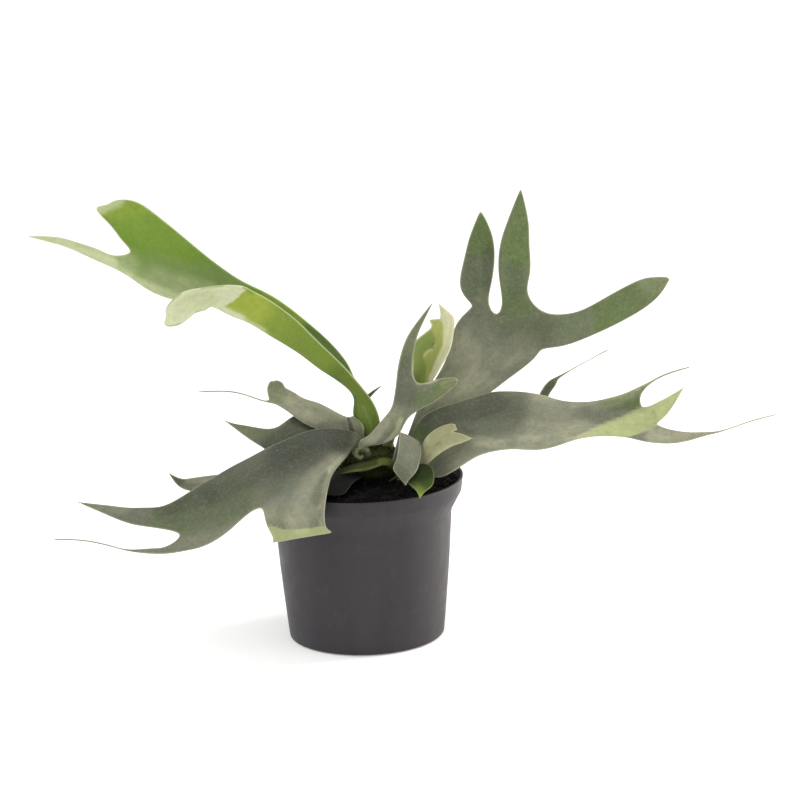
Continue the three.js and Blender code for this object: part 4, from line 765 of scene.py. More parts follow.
def net_of(whole):
    """A coarse net of four-sided faces through a frond's rungs.

    Its points are (x, y, z, thickness, across, along): across runs from the frond's left edge, 0, to
    its right edge, 1, and along is the way from its foot.
    """
    points = []
    faces = []

    def grow(part, row, before, low, high, travelled):
        fractions = fractions_of(part)
        for i, rung in enumerate(part.rungs):
            here = middle_of(rung)
            after = middle_of(part.rungs[i + 1]) if i + 1 < len(part.rungs) else here
            start = here if before is None else before
            travelled += np.linalg.norm(here - start)
            is_tip = not part.forks and not part.columns and i + 1 == len(part.rungs)
            new_row = []
            for at, point in zip(fractions, rung_points(rung, fractions, unit(after - start), is_tip)):
                new_row.append(len(points))
                points.append([*point, low + (high - low) * at, travelled])
            for k in range(len(new_row) - 1 if row else 0):
                faces.append([row[k], row[k + 1], new_row[k + 1], new_row[k]])
            row = new_row
            before = here
        start = 0
        for fork in part.forks:
            end = start + len(fractions_of(fork)) - 1
            first, last = (low + (high - low) * fractions[k] for k in (start, end))
            root = (np.array(points[row[start]][:3]) + np.array(points[row[end]][:3])) / 2
            grow(fork, row[start:end + 1], root, first, last, travelled)
            start = end

    grow(whole, None, None, 0.0, 1.0, 0.0)
    return np.array(points), np.array(faces)


def gathered(count, index, values):
    """The sum of the values that go to each of so many points."""
    values = values.reshape(-1, values.shape[-1])
    total = np.zeros((count, values.shape[1]))
    np.add.at(total, index.ravel(), values)
    return total


def edges_of(faces):
    """A net's edges, which edge follows each face's corner, and how many faces meet at each edge."""
    ends = np.sort(np.stack([faces, np.roll(faces, -1, axis=1)], axis=-1).reshape(-1, 2), axis=1)
    edges, which, count = np.unique(ends, axis=0, return_inverse=True, return_counts=True)
    return edges, which.reshape(faces.shape), count


def counted(points, edges, count):
    """How many edges meet at each of a net's points, which points lie on its rim, and the sum of each
    one's two neighbours there."""
    rim = edges[count == 1]
    on_rim = np.zeros((len(points), 1), bool)
    on_rim[rim.ravel()] = True
    meeting = np.bincount(edges.ravel(), minlength=len(points))[:, None]
    return meeting, on_rim, gathered(len(points), rim, points[rim[:, ::-1]])


def smooth_places(points, faces):
    """Where a net's points come to lie on the smooth surface that it stands for."""
    edges, _, count = edges_of(faces)
    n, on_rim, rims = counted(points, edges, count)
    near = gathered(len(points), edges, points[edges[:, ::-1]])
    far = gathered(len(points), faces, points[np.roll(faces, 2, axis=1)])
    return np.where(on_rim, (4 * points + rims) / 6, (n * n * points + 4 * near + far) / (n * (n + 5)))


def subdivided(points, faces):
    """One step of Catmull and Clark's subdivision."""
    edges, which, count = edges_of(faces)
    n, on_rim, rims = counted(points, edges, count)
    face_points = points[faces].mean(axis=1)
    corners = np.repeat(face_points, 4, axis=0)
    ends = points[edges].sum(axis=1)
    edge_points = np.where((count == 1)[:, None], ends / 2,
                           (ends + gathered(len(edges), which, corners)) / 4)
    middles = gathered(len(points), edges, np.repeat(ends / 2, 2, axis=0)) / n
    around = gathered(len(points), faces, corners) / n
    inner = ((n - 3) * points + 2 * middles + around) / n
    moved = np.where(on_rim, (6 * points + rims) / 8, inner)
    first_face = len(points)
    first_edge = first_face + len(faces)
    middle = np.repeat(np.arange(len(faces))[:, None] + first_face, 4, axis=1)
    smaller = np.stack([faces, first_edge + which, middle, first_edge + np.roll(which, 1, axis=1)], axis=-1)
    return np.concatenate([moved, face_points, edge_points]), smaller.reshape(-1, 4)


def surface_of(part):
    """The smooth surface that passes through a frond's net."""
    aims, faces = net_of(part)
    points = aims
    for _ in range(FIT_PASSES):
        points = points + aims - smooth_places(points, faces)
    for _ in range(SMOOTH_STEPS):
        points, faces = subdivided(points, faces)
    return smooth_places(points, faces), faces


def normals_of(places, faces):
    corners = places[faces]
    normal = np.cross(corners[:, 2] - corners[:, 0], corners[:, 3] - corners[:, 1])
    total = gathered(len(places), faces, np.repeat(normal, 4, axis=0))
    return total / np.maximum(np.linalg.norm(total, axis=1, keepdims=True), TINY)


def rippled(points, faces):
    """Lets a blade swell and sink a little along its normals, more so away from its foot."""
    for point, normal in zip(points, normals_of(points[:, :3], faces)):
        height = noise.noise(Vector(point[:3]) / RIPPLE_LENGTH)
        point[:3] += normal * height * RIPPLE * eased(point[5] / RIPPLE_START - 1)
    return points


def put_in_scene(name, data):
    """A new object in the scene."""
    made = bpy.data.objects.new(name, data)
    bpy.context.scene.collection.objects.link(made)
    return made


def new_piece(name, vertices, faces):
    """A smooth mesh piece from vertices in millimetres."""
    mesh = bpy.data.meshes.new(name)
    mesh.from_pydata([[x * MM, y * MM, z * MM] for x, y, z in vertices], [], [list(face) for face in faces])
    mesh.shade_smooth()
    mesh.update()
    return put_in_scene(name, mesh)


def keep_value(piece, name, values):
    """Stores a colour or a vector for each vertex of a piece, for its material to read."""
    kind, field = ("FLOAT_COLOR", "color") if values.shape[1] == 4 else ("FLOAT_VECTOR", "vector")
    layer = piece.data.attributes.new(name, kind, "POINT")
    layer.data.foreach_set(field, np.asarray(values, np.float32).ravel())


def distance_to_line(spots, line):
    """How far each spot lies from a line through marks, as they are seen, or from a closed patch."""
    nearest = np.full(len(spots), np.inf)
    inside = np.zeros(len(spots), bool)
    line = [np.array(mark, float) for mark in line]
    for start, end in zip(line, line[1:] or line):
        way = end - start
        at = np.clip((spots - start) @ way / max(way @ way, TINY), 0, 1)
        nearest = np.minimum(nearest, np.linalg.norm(spots - start - at[:, None] * way, axis=1))
        crossed = (start[1] > spots[:, 1]) != (end[1] > spots[:, 1])
        turn = way[0] * (spots[:, 1] - start[1]) - way[1] * (spots[:, 0] - start[0])
        inside ^= crossed & ((turn > 0) == (way[1] > 0))
    is_patch = len(line) > 2 and np.allclose(line[0], line[-1])
    return np.where(inside & is_patch, 0, nearest)


def tones_of(places, facing, across, coat):
    """How much of each tone the felt has at each place. A stroke of felt takes the tones away."""
    spots = sight(places)
    tones = np.tile(np.array(coat.base, float), (len(places), 1))
    for tone, strength, reach, line, *limits in coat.strokes:
        low, high = limits or EVERYWHERE
        cover = strength * eased((1 - distance_to_line(spots, line) / reach) / STROKE_SOFTNESS)
        cover = cover * facing * (across >= low) * (across <= high)
        if tone == "felt":
            tones *= 1 - cover[:, None]
        else:
            k = TONES.index(tone)
            tones[:, k] = 1 - (1 - tones[:, k]) * (1 - cover)
    return tones


def add_blade(name, part, coat):
    """A frond as a closed blade with rounded edges, with its tones painted on."""
    points, faces = surface_of(part)
    points = rippled(points, faces)
    places = points[:, :3]
    normals = normals_of(places, faces)
    _, which, count = edges_of(faces)
    rim = [(faces[f][k], faces[f][(k + 1) % 4]) for f, k in zip(*np.nonzero(count[which] == 1))]

    out = np.zeros_like(places)
    for start, end in rim:
        away = unit(np.cross(places[end] - places[start], normals[start]))
        out[start] += away
        out[end] += away
    on_rim = np.array(sorted({start for start, _ in rim}))
    order = {int(v): k for k, v in enumerate(on_rim)}
    rounding = EDGE_ROUND / EDGE_THICKNESS * points[on_rim, 3:4]
    edge_row = places[on_rim] + rounding * out[on_rim] / np.linalg.norm(out[on_rim], axis=1, keepdims=True)

    half = points[:, 3:4] / 2
    vertices = np.concatenate([places + normals * half, places - normals * half, edge_row])
    size = len(places)
    shell = [*faces, *(size + faces[:, ::-1])]
    for start, end in rim:
        a = 2 * size + order[int(start)]
        b = 2 * size + order[int(end)]
        shell += [[end, start, a, b], [b, a, size + start, size + end]]
    piece = new_piece(name, vertices, shell)

    toward = np.einsum("ij,ij->i", normals, EYE - places) > 0
    facing = np.concatenate([toward, ~toward, np.ones(len(on_rim))]).astype(float)
    source = np.concatenate([np.arange(size), np.arange(size), on_rim])
    across, along = points[source, 4], points[source, 5]
    under = np.concatenate([np.zeros(size), np.ones(size), np.full(len(on_rim), 0.5)])
    gaps = np.linalg.norm(places[:, None, :] - places[None, on_rim, :], axis=2).min(axis=1)
    keep_value(piece, "tones", tones_of(vertices, facing, across, coat))
    ones = np.ones(len(source))
    keep_value(piece, "trace", np.stack([gaps[source], under, along / along.max(), ones], axis=1))
    keep_value(piece, "grain", np.stack([across * GRAIN_WIDTH, along, 0 * ones], axis=1) * MM)
    return piece


class Nodes:
    """A node tree in the making. What feeds a node is a number, a colour or another node's socket."""

    def __init__(self, tree):
        self.tree = tree

    def feed(self, socket, value):
        if isinstance(value, bpy.types.NodeSocket):
            self.tree.links.new(value, socket)
        else:
            socket.default_value = value

    def add(self, kind, values=None, **settings):
        made = self.tree.nodes.new(kind)
        for key, value in settings.items():
            setattr(made, key, value)
        for key, value in (values or {}).items():
            by_name = (socket for socket in made.inputs if socket.enabled and socket.name == key)
            self.feed(next(by_name) if isinstance(key, str) else made.inputs[key], value)
        return made

    def result(self, kind, values=None, **settings):
        """The first output of a new node."""
        return next(s for s in self.add(kind, values, **settings).outputs if s.enabled)

    def mixed(self, share, first, second):
        return self.result("ShaderNodeMix", {"Factor": share, "A": first, "B": second}, data_type="RGBA")

    def maths(self, operation, first, second=0.0):
        return self.result("ShaderNodeMath", {0: first, 1: second}, operation=operation)

    def times(self, first, second):
        return self.maths("MULTIPLY", first, second)

    def plus(self, first, second):
        return self.maths("ADD", first, second)

    def stretched(self, vector, factors):
        return self.result("ShaderNodeVectorMath", {0: vector, 1: factors}, operation="MULTIPLY")

    def mapped(self, value, low, high, to_low=0.0, to_high=1.0):
        """Maps values from low to high to others, and keeps them between those."""
        values = {"Value": value, "From Min": low, "From Max": high, "To Min": to_low, "To Max": to_high}
        return self.result("ShaderNodeMapRange", values)

    def centred(self, value, amount=1.0):
        """A noise value as a number round zero."""
        return self.mapped(value, *WHOLE_NOISE, -0.5 * amount, 0.5 * amount)

    def grained(self, vector, scale, detail, roughness=0.55):
        values = {"Vector": vector, "Scale": scale, "Detail": detail, "Roughness": roughness}
        return self.result("ShaderNodeTexNoise", values)

    def separated(self, colour):
        return self.add("ShaderNodeSeparateColor", {"Color": colour}).outputs

    def attribute(self, name):
        return self.add("ShaderNodeAttribute", attribute_name=name).outputs

    def object_place(self):
        return self.add("ShaderNodeTexCoord").outputs["Object"]

    def random_between(self, low, high, seed, kind="FLOAT"):
        values = {"Min": low, "Max": high, "Seed": seed}
        return self.result("FunctionNodeRandomValue", values, data_type=kind)


def colour(code):
    """A linear colour from a six-digit code of a screen colour."""
    parts = [int(code[i:i + 2], 16) / 255 for i in (0, 2, 4)]
    return [*(p / 12.92 if p <= 0.04045 else ((p + 0.055) / 1.055) ** 2.4 for p in parts), 1]


def new_tree(kind, name, inputs, outputs):
    """An empty node group: its nodes, the sockets that it is given and those that it makes."""
    group = bpy.data.node_groups.new(name, kind)
    for way, sockets in (("OUTPUT", outputs), ("INPUT", inputs)):
        for socket, form in sockets.items():
            group.interface.new_socket(socket, in_out=way, socket_type="NodeSocket" + form)
    return Nodes(group), group.nodes.new("NodeGroupInput").outputs, group.nodes.new("NodeGroupOutput").inputs


def new_shader_group(name, tones, amounts):
    inputs = {**dict.fromkeys(tones, "Color"), **dict.fromkeys(amounts, "Float")}
    outputs = {"Color": "Color", "Roughness": "Float", "Height": "Float"}
    return new_tree("ShaderNodeTree", name, inputs, outputs)


def felt_group():
    """The felt of a frond: its tones with worn edges, mottling, streaks, specks and a pale margin, which is
    partly the felt's own pale edge and partly a painted highlight where the edge catches light.
    """
    amounts = ("Warmth", "Mottling", "Streaks", "Specks", "Margin")
    nodes, given, made = new_shader_group("Frond felt", FELT_TONES, amounts)
    spot = nodes.object_place()
    tones = nodes.attribute("tones")
    masks = [*nodes.separated(tones["Color"]), tones["Alpha"]]
    margin, under, _ = nodes.separated(nodes.attribute("trace")["Color"])
    drawn = nodes.stretched(nodes.attribute("grain")["Vector"], STREAK_STRETCH)
    broad = nodes.grained(drawn, *BROAD_STREAKS)
    fine = nodes.grained(drawn, *FINE_STREAKS)
    clouds = nodes.grained(spot, *CLOUDS)
    hairs = nodes.grained(spot, *HAIRS)

    warm = nodes.mapped(nodes.grained(spot, *WARM_CLOUDS), *WARM_RANGE)
    painted = nodes.mixed(nodes.times(warm, given["Warmth"]), given["Felt"], given["Warm"])
    painted = nodes.mixed(nodes.times(under, UNDERSIDE_SHARE), painted, given["Underside"])
    shift = nodes.plus(nodes.centred(broad, WEAR_BY_STREAKS), nodes.centred(clouds, WEAR_BY_CLOUDS))
    # The tone masks are mixed in: the last one is painted shade, and lime and pale are partly painted light
    for mask, tone in zip(masks, ("Fresh", "Lime", "Pale", "Deep")):
        open_share = nodes.times(mask, nodes.maths("SUBTRACT", 1.0, mask))
        painted = nodes.mixed(nodes.plus(mask, nodes.times(open_share, shift)), painted, given[tone])

    mottling = nodes.times(nodes.centred(clouds), given["Mottling"])
    streaks = nodes.plus(nodes.centred(broad), nodes.centred(fine, FINE_SHARE))
    streaks = nodes.times(streaks, given["Streaks"])
    shade = nodes.plus(nodes.plus(mottling, streaks), 1.0)
    painted = nodes.result("ShaderNodeHueSaturation", {"Value": shade, "Color": painted})
    light = nodes.times(nodes.mapped(hairs, *LIGHT_HAIRS), given["Specks"])
    painted = nodes.mixed(light, painted, given["Hair"])
    dark = nodes.times(nodes.mapped(hairs, *DARK_HAIRS), given["Specks"])
    # Dark specks of the felt, drawn in the colour of its painted shade
    painted = nodes.mixed(dark, painted, given["Deep"])
    # Pale margin: partly the felt's own pale edge, partly a painted highlight along the blade's edge
    rim = nodes.mapped(margin, *MARGIN_HIGHLIGHT, 1.0, 0.0)
    nodes.feed(made["Color"], nodes.mixed(nodes.times(rim, given["Margin"]), painted, given["Pale"]))
    nodes.feed(made["Roughness"], nodes.mapped(hairs, *WHOLE_NOISE, *FELT_ROUGHNESS))
    nodes.feed(made["Height"], nodes.plus(hairs, nodes.times(fine, FINE_RELIEF)))
    return nodes.tree


def earth_group():
    """Loose potting mix or old tissue: dark, with lighter crumbs and fibres, and rough all over."""
    nodes, given, made = new_shader_group("Crumbly earth", EARTH_TONES, ("Scale", "Light share"))
    spot = nodes.object_place()
    coarse = nodes.add("ShaderNodeTexVoronoi", {"Vector": spot, "Scale": given["Scale"]}).outputs
    fine = nodes.grained(spot, *EARTH_GRAIN)
    painted = nodes.mixed(nodes.mapped(fine, *HALF_NOISE), given["Dark"], given["Middle"])
    rare = nodes.mapped(nodes.separated(coarse["Color"])[0], *LIGHT_CRUMBS)
    painted = nodes.mixed(nodes.times(rare, given["Light share"]), painted, given["Light"])
    nodes.feed(made["Color"], painted)
    nodes.feed(made["Roughness"], nodes.mapped(fine, *WHOLE_NOISE, *EARTH_ROUGHNESS))
    nodes.feed(made["Height"], nodes.plus(fine, coarse["Distance"]))
    return nodes.tree


def new_material(name, values):
    """A material with these values on its shader: the material, its nodes and the shader's sockets."""
    material = bpy.data.materials.new(name)
    material.use_nodes = True
    shader = material.node_tree.nodes["Principled BSDF"].inputs
    for key, value in values.items():
        shader[key].default_value = value
    return material, Nodes(material.node_tree), shader


def raise_surface(nodes, shader, height, distance, strength=1.0):
    """Gives a surface fine relief."""
    values = {"Strength": strength, "Distance": distance * MM, "Height": height}
    nodes.feed(shader["Normal"], nodes.result("ShaderNodeBump", values))


def add_group(nodes, shader, group, tones, amounts):
    """Adds a shader group to a material and gives back the group's colour and height."""
    values = {**{tone: colour(code) for tone, code in tones}, **amounts}
    made = nodes.add("ShaderNodeGroup", values, node_tree=group)
    nodes.feed(shader["Roughness"], made.outputs["Roughness"])
    return made.outputs["Color"], made.outputs["Height"]


def felted(name, group, codes, warmth=0.0, mottling=0.2, streaks=0.2, specks=0.3, margin=0.5, gloss=0.25,
           sheen=0.12):
    values = {"Specular IOR Level": gloss, "Sheen Weight": sheen, "Sheen Roughness": 0.6}
    material, nodes, shader = new_material(name, values)
    amounts = {"Warmth": warmth, "Mottling": mottling, "Streaks": streaks, "Specks": specks,
               "Margin": margin}
    painted, height = add_group(nodes, shader, group, zip(FELT_TONES, codes.split()), amounts)
    nodes.feed(shader["Base Color"], painted)
    raise_surface(nodes, shader, height, *FELT_RELIEF)
    return material


def earthy(name, group, codes, scale, light_share=0.5, relief=0.5, shade_top=0.0):
    """An earthy material, with painted shade that darkens it to near black below a given height in
    millimetres.
    """
    material, nodes, shader = new_material(name, {"Specular IOR Level": 0.2})
    amounts = {"Scale": scale, "Light share": light_share}
    painted, height = add_group(nodes, shader, group, zip(EARTH_TONES, codes.split()), amounts)
    above = nodes.add("ShaderNodeSeparateXYZ", {"Vector": nodes.object_place()}).outputs["Z"]
    # Painted shade: the material goes near black below the given height, where the crown lies in shade
    low_shade = nodes.mapped(above, (shade_top - LOW_SHADE_FADE) * MM, shade_top * MM, LOW_SHADE_SHARE, 0.0)
    nodes.feed(shader["Base Color"], nodes.mixed(low_shade, painted, colour(LOW_SHADE)))
    raise_surface(nodes, shader, height, relief)
    return material


def pot_plastic():
    """Dark grey moulded plastic with a fine grain, faint flow marks and a dusting of dried splashes."""
    material, nodes, shader = new_material("pot_plastic", {"Specular IOR Level": 0.4})
    spot = nodes.object_place()
    flow = nodes.grained(nodes.stretched(spot, FLOW_STRETCH), *FLOW_MARKS)
    dust = nodes.grained(spot, *DUST)
    body = nodes.mixed(nodes.mapped(flow, *HALF_NOISE), *map(colour, PLASTIC))
    dusted = nodes.mixed(nodes.mapped(dust, *DUST_RANGE, 0.0, DUST_SHARE), body, colour(DUST_COLOUR))
    nodes.feed(shader["Base Color"], dusted)
    nodes.feed(shader["Roughness"], nodes.mapped(dust, *WHOLE_NOISE, *PLASTIC_ROUGHNESS))
    raise_surface(nodes, shader, nodes.grained(spot, *PLASTIC_GRAIN), *PLASTIC_RELIEF)
    return material


def new_geometry_tree(name, **inputs):
    """An empty Geometry Nodes tree, whose other inputs stand after its geometry and its material."""
    sockets = {"Geometry": "Geometry", "Material": "Material", **inputs}
    return new_tree("GeometryNodeTree", name, sockets, {"Geometry": "Geometry"})


def end_tree(nodes, geometry, given, made):
    """Realizes a tree's instances, gives them the material and puts them out."""
    real = nodes.result("GeometryNodeRealizeInstances", {"Geometry": geometry})
    values = {"Geometry": real, "Material": given["Material"]}
    nodes.feed(made["Geometry"], nodes.result("GeometryNodeSetMaterial", values))
    return nodes.tree


def grown(host, tree, name, **values):
    """What a Geometry Nodes tree makes from a host piece, as a plain mesh of its own."""
    modifier = host.modifiers.new(name, "NODES")
    modifier.node_group = tree
    for item in tree.interface.items_tree:
        if item.in_out == "INPUT" and item.name in values:
            modifier[item.identifier] = values[item.name]
    depsgraph = bpy.context.evaluated_depsgraph_get()
    mesh = bpy.data.meshes.new_from_object(host.evaluated_get(depsgraph), depsgraph=depsgraph)
    host.modifiers.remove(modifier)
    mesh.name = name
    return put_in_scene(name, mesh)


def scatter_tree(name, shape, lean, squash):
    """Strews copies of a small shape over a piece: each is turned, tilted by lean and scaled by squash."""
    nodes, given, made = new_geometry_tree(name, Density="Float", Smallest="Float", Largest="Float",
                                           Seed="Int", Lowest="Float", Steepest="Float", Reach="Float")
    position = nodes.result("GeometryNodeInputPosition")
    height = nodes.add("ShaderNodeSeparateXYZ", {0: position}).outputs[2]
    slope = nodes.add("ShaderNodeSeparateXYZ", {0: nodes.result("GeometryNodeInputNormal")}).outputs[2]
    flat = nodes.stretched(position, (1, 1, 0))
    away = nodes.result("ShaderNodeVectorMath", {0: flat}, operation="LENGTH")
    chosen = nodes.maths("GREATER_THAN", height, given["Lowest"])
    chosen = nodes.times(chosen, nodes.maths("GREATER_THAN", slope, given["Steepest"]))
    chosen = nodes.times(chosen, nodes.maths("LESS_THAN", away, given["Reach"]))
    values = {"Mesh": given["Geometry"], "Density": given["Density"], "Seed": given["Seed"],
              "Selection": chosen}
    spread = nodes.add("GeometryNodeDistributePointsOnFaces", values).outputs
    turn = nodes.random_between((-lean, -lean, 0), (lean, lean, math.tau), given["Seed"], "FLOAT_VECTOR")
    turned = nodes.result("FunctionNodeEulerToRotation", {"Euler": turn})
    values = {"Rotation": spread["Rotation"], "Rotate By": turned}
    set_up = nodes.result("FunctionNodeRotateRotation", values, rotation_space="LOCAL")
    stretch = nodes.random_between(*squash, given["Seed"], "FLOAT_VECTOR")
    size = nodes.random_between(given["Smallest"], given["Largest"], given["Seed"])
    scale = nodes.result("ShaderNodeVectorMath", {0: stretch, "Scale": size}, operation="SCALE")
    values = {"Points": spread["Points"], "Instance": nodes.result(*shape), "Rotation": set_up,
              "Scale": scale}
    return end_tree(nodes, nodes.result("GeometryNodeInstanceOnPoints", values), given, made)


def strewn(host, name, tree_name, material, shape, lean, squash, density, sizes, lowest, steepest, reach,
           seed):
    """Small shapes strewn over a host piece, as a piece of their own."""
    tree = scatter_tree(tree_name, shape, lean, squash)
    return grown(host, tree, name, Density=density, Smallest=sizes[0] * MM, Largest=sizes[1] * MM,
                 Seed=seed, Lowest=lowest * MM, Steepest=steepest, Reach=reach * MM, Material=material)


def curved_line(points, steps):
    """A smooth line through points, with so many steps between each two."""
    points = [np.array(p, float) for p in points]
    ends = [2 * points[0] - points[1], *points, 2 * points[-1] - points[-2]]
    line = []
    for before, start, end, after in zip(ends, ends[1:], ends[2:], ends[3:]):
        for t in np.arange(steps) / steps:
            bend = 2 * before - 5 * start + 4 * end - after
            bow = bend + t * (3 * (start - end) + after - before)
            line.append(start + 0.5 * t * (end - before + t * bow))
    return [*line, points[-1]]


def rounded(before, corner, after, radius, steps=5):
    """A corner of an outline rounded off: points on a curve that starts and ends at radius from it."""
    corner = np.array(corner, float)
    start, end = (corner + radius * unit(np.array(other, float) - corner) for other in (before, after))
    shares = np.linspace(0, 1, steps)
    return [start * (1 - t) ** 2 + corner * 2 * t * (1 - t) + end * t * t for t in shares]


WALL_LINE = [(FOOT_CORNER_RADIUS, FOOT_CORNER_HEIGHT), (WAIST_RADIUS, POT_HEIGHT * WAIST_SHARE),
             (NECK_RADIUS, POT_HEIGHT - RIM_BAND - COLLAR_TAPER),
             (RIM_RADIUS - RIM_SLOPE, POT_HEIGHT - RIM_BAND), (RIM_RADIUS, POT_HEIGHT)]


def inner_radius(height):
    """The pot's inner radius at a height."""
    radii, heights = zip(*WALL_LINE)
    return np.interp(height, heights, radii) - WALL


def pot_outline():
    """The pot's wall, cut through its axis: points of (radius, height) from the middle of the foot,
    round the outside and the lip, and down the inside to the middle of the floor."""
    ring = FOOT_RADIUS - FOOT_RING_WIDTH
    floor_top = FOOT_RECESS + FLOOR
    corner, waist, neck, band, rim = WALL_LINE
    foot = [(0, 0), (FOOT_DISC_RADIUS, 0), (FOOT_DISC_RADIUS + FOOT_BEVEL, FOOT_RECESS),
            (ring, FOOT_RECESS), (ring + FOOT_BEVEL, 0)]
    side = curved_line([*((FOOT_RADIUS + out, up) for out, up in FOOT_CURVE), corner, waist], LINE_STEPS)
    collar = rounded(waist, neck, band, COLLAR_ROUND) + rounded(neck, band, rim, BAND_ROUND)
    inside = (RIM_RADIUS - WALL, POT_HEIGHT)
    lip = rounded(band, rim, inside, LIP_ROUND) + rounded(rim, inside, (inside[0], 0), LIP_ROUND)
    down = [(inner_radius(h), h) for h in (band[1], neck[1], waist[1], FLOOR_CORNER_HEIGHT)]
    return [*foot, *side, *collar, *lip, *down, (FOOT_RADIUS - FLOOR_INSET, floor_top), (0, floor_top)]


def turned_pot_tree(rows):
    """Turns an outline of so many points into a pot: a grid whose rows follow the outline and whose
    columns go round the axis, with drain holes cut through its floor."""
    inputs = {"Sides": "Int", "Drain holes": "Int", "Drain circle": "Float", "Drain radius": "Float",
              "Drain depth": "Float"}
    nodes, given, made = new_geometry_tree("Turned pot", **inputs)
    values = {"Vertices X": nodes.plus(given["Sides"], 1.0), "Vertices Y": rows}
    grid = nodes.result("GeometryNodeMeshGrid", values)
    index = nodes.result("GeometryNodeInputIndex")
    row = nodes.maths("MODULO", index, float(rows))
    column = nodes.maths("FLOOR", nodes.maths("DIVIDE", nodes.plus(index, 0.5), float(rows)))
    values = {"Geometry": given["Geometry"], "Value": nodes.result("GeometryNodeInputPosition"), "Index": row}
    spot = nodes.result("GeometryNodeSampleIndex", values, data_type="FLOAT_VECTOR")
    turn = nodes.times(nodes.maths("DIVIDE", column, given["Sides"]), math.tau)
    values = {"Vector": spot, "Axis": (0, 0, 1), "Angle": turn}
    around = nodes.result("ShaderNodeVectorRotate", values, rotation_type="AXIS_ANGLE")
    wall = nodes.result("GeometryNodeSetPosition", {"Geometry": grid, "Position": around})
    wall = nodes.result("GeometryNodeMergeByDistance", {"Geometry": wall, "Distance": MERGE_DISTANCE})
    values = {"Vertices": given["Drain holes"], "Radius": given["Drain circle"]}
    circle = nodes.result("GeometryNodeMeshCircle", values)
    values = {"Vertices": DRILL_SIDES, "Radius": given["Drain radius"], "Depth": given["Drain depth"]}
    drill = nodes.result("GeometryNodeMeshCylinder", values)
    drills = nodes.result("GeometryNodeInstanceOnPoints", {"Points": circle, "Instance": drill})
    drills = nodes.result("GeometryNodeRealizeInstances", {"Geometry": drills})
    cut = nodes.result("GeometryNodeMeshBoolean", {"Mesh 1": wall, "Mesh 2": drills},
                       operation="DIFFERENCE", solver="MANIFOLD")
    return end_tree(nodes, cut, given, made)


def add_pot(material):
    outline = pot_outline()
    line = bpy.data.meshes.new("pot_outline")
    line.from_pydata([[r * MM, 0, h * MM] for r, h in outline], [], [])
    host = put_in_scene("pot_outline", line)
    values = {"Sides": POT_SIDES, "Drain holes": DRAIN_HOLES, "Drain circle": DRAIN_CIRCLE * MM,
              "Drain radius": DRAIN_RADIUS * MM, "Drain depth": 2 * FLOOR_CORNER_HEIGHT * MM}
    pot = grown(host, turned_pot_tree(len(outline)), "nursery_pot", Material=material, **values)
    bpy.data.objects.remove(host)
    pot.data.shade_smooth()
    pot.data.set_sharp_from_angle(angle=math.radians(SHARP_ANGLE))
    return pot


def closed_rings(vertices, sides, first, last):
    """A closed form from rings of so many vertices each and the points at its two ends: vertices, faces."""
    faces = []
    top = len(vertices) - sides
    for a in range(top):
        b = a + 1 if (a + 1) % sides else a + 1 - sides
        faces.append([a, b, b + sides, a + sides])
    for k in range(sides):
        faces.append([len(vertices), (k + 1) % sides, k])
        faces.append([len(vertices) + 1, top + k, top + (k + 1) % sides])
    return [*vertices, first, last], faces


def turned_form(rings, sides, shape):
    """Vertices and faces of a closed round form. Each ring is (radius, height), the first and last
    ones are points on the axis, and shape moves each vertex (x, y, z, turn)."""
    vertices = []
    for radius, height in rings[1:-1]:
        for turn in (k / sides * math.tau for k in range(sides)):
            vertices.append(shape(radius * math.cos(turn), radius * math.sin(turn), height, turn))
    first, last = (shape(0, 0, rings[k][1], 0) for k in (0, -1))
    return closed_rings(vertices, sides, first, last)


def add_soil():
    """The potting mix: it fills the pot and is mounded towards the crown, with a lumpy top."""
    floor = FOOT_RECESS + FLOOR + SEAT_GAP
    edge = inner_radius(SOIL_EDGE_HEIGHT) - SEAT_GAP
    levels = np.linspace(FLOOR_CORNER_HEIGHT, SOIL_EDGE_HEIGHT, SOIL_BASE_RINGS, endpoint=False)
    rings = [(0, floor), (FOOT_RADIUS - FOOT_BEVEL, floor)]
    rings += [(inner_radius(h) - SEAT_GAP, h) for h in levels]
    for i in range(SOIL_RINGS + 1):
        out = 1 - i / SOIL_RINGS
        rings.append((edge * out, SOIL_EDGE_HEIGHT + SOIL_MOUND * (1 - out * out)))

    lowest = SOIL_EDGE_HEIGHT - SOIL_TOP_MARGIN

    def shape(x, y, z, turn):
        inward = eased((edge - math.hypot(x, y)) / SOIL_FADE) if z > lowest else 0
        lump = noise.fractal(Vector((x, y, 0)) / SOIL_LUMP_LENGTH, *SOIL_ROUGHNESS)
        return x, y, z + SOIL_LUMPS * lump * inward

    return new_piece("potting_mix", *turned_form(rings, SOIL_SIDES, shape))


def add_crown():
    """The crown: a dome of old tissue in layers, narrow below the soil."""
    def shape(x, y, h, turn):
        z = CROWN_FOOT + h * (CROWN_TOP - CROWN_FOOT)
        swell = 1 + CROWN_SWELL.size * math.sin(CROWN_SWELL.count * turn + CROWN_SWELL.twist * z)
        layer = (h * CROWN_LAYERS + CROWN_WAVES.size * math.sin(CROWN_WAVES.count * turn)) % 1
        lump = noise.noise(Vector((x * CROWN_LUMPS.across, y * CROWN_LUMPS.across, h * CROWN_LUMPS.up)))
        out = swell + CROWN_RELIEF * (layer - 0.5 + CROWN_LUMPS.size * lump) / CROWN_HALF_WIDTH
        return CROWN_X + x * CROWN_HALF_WIDTH * out, CROWN_Y + y * CROWN_HALF_DEPTH * out, z

    rings = curved_line(CROWN_OUTLINE, LINE_STEPS)
    return new_piece("crown_tissue", *turned_form(rings, CROWN_SIDES, shape))


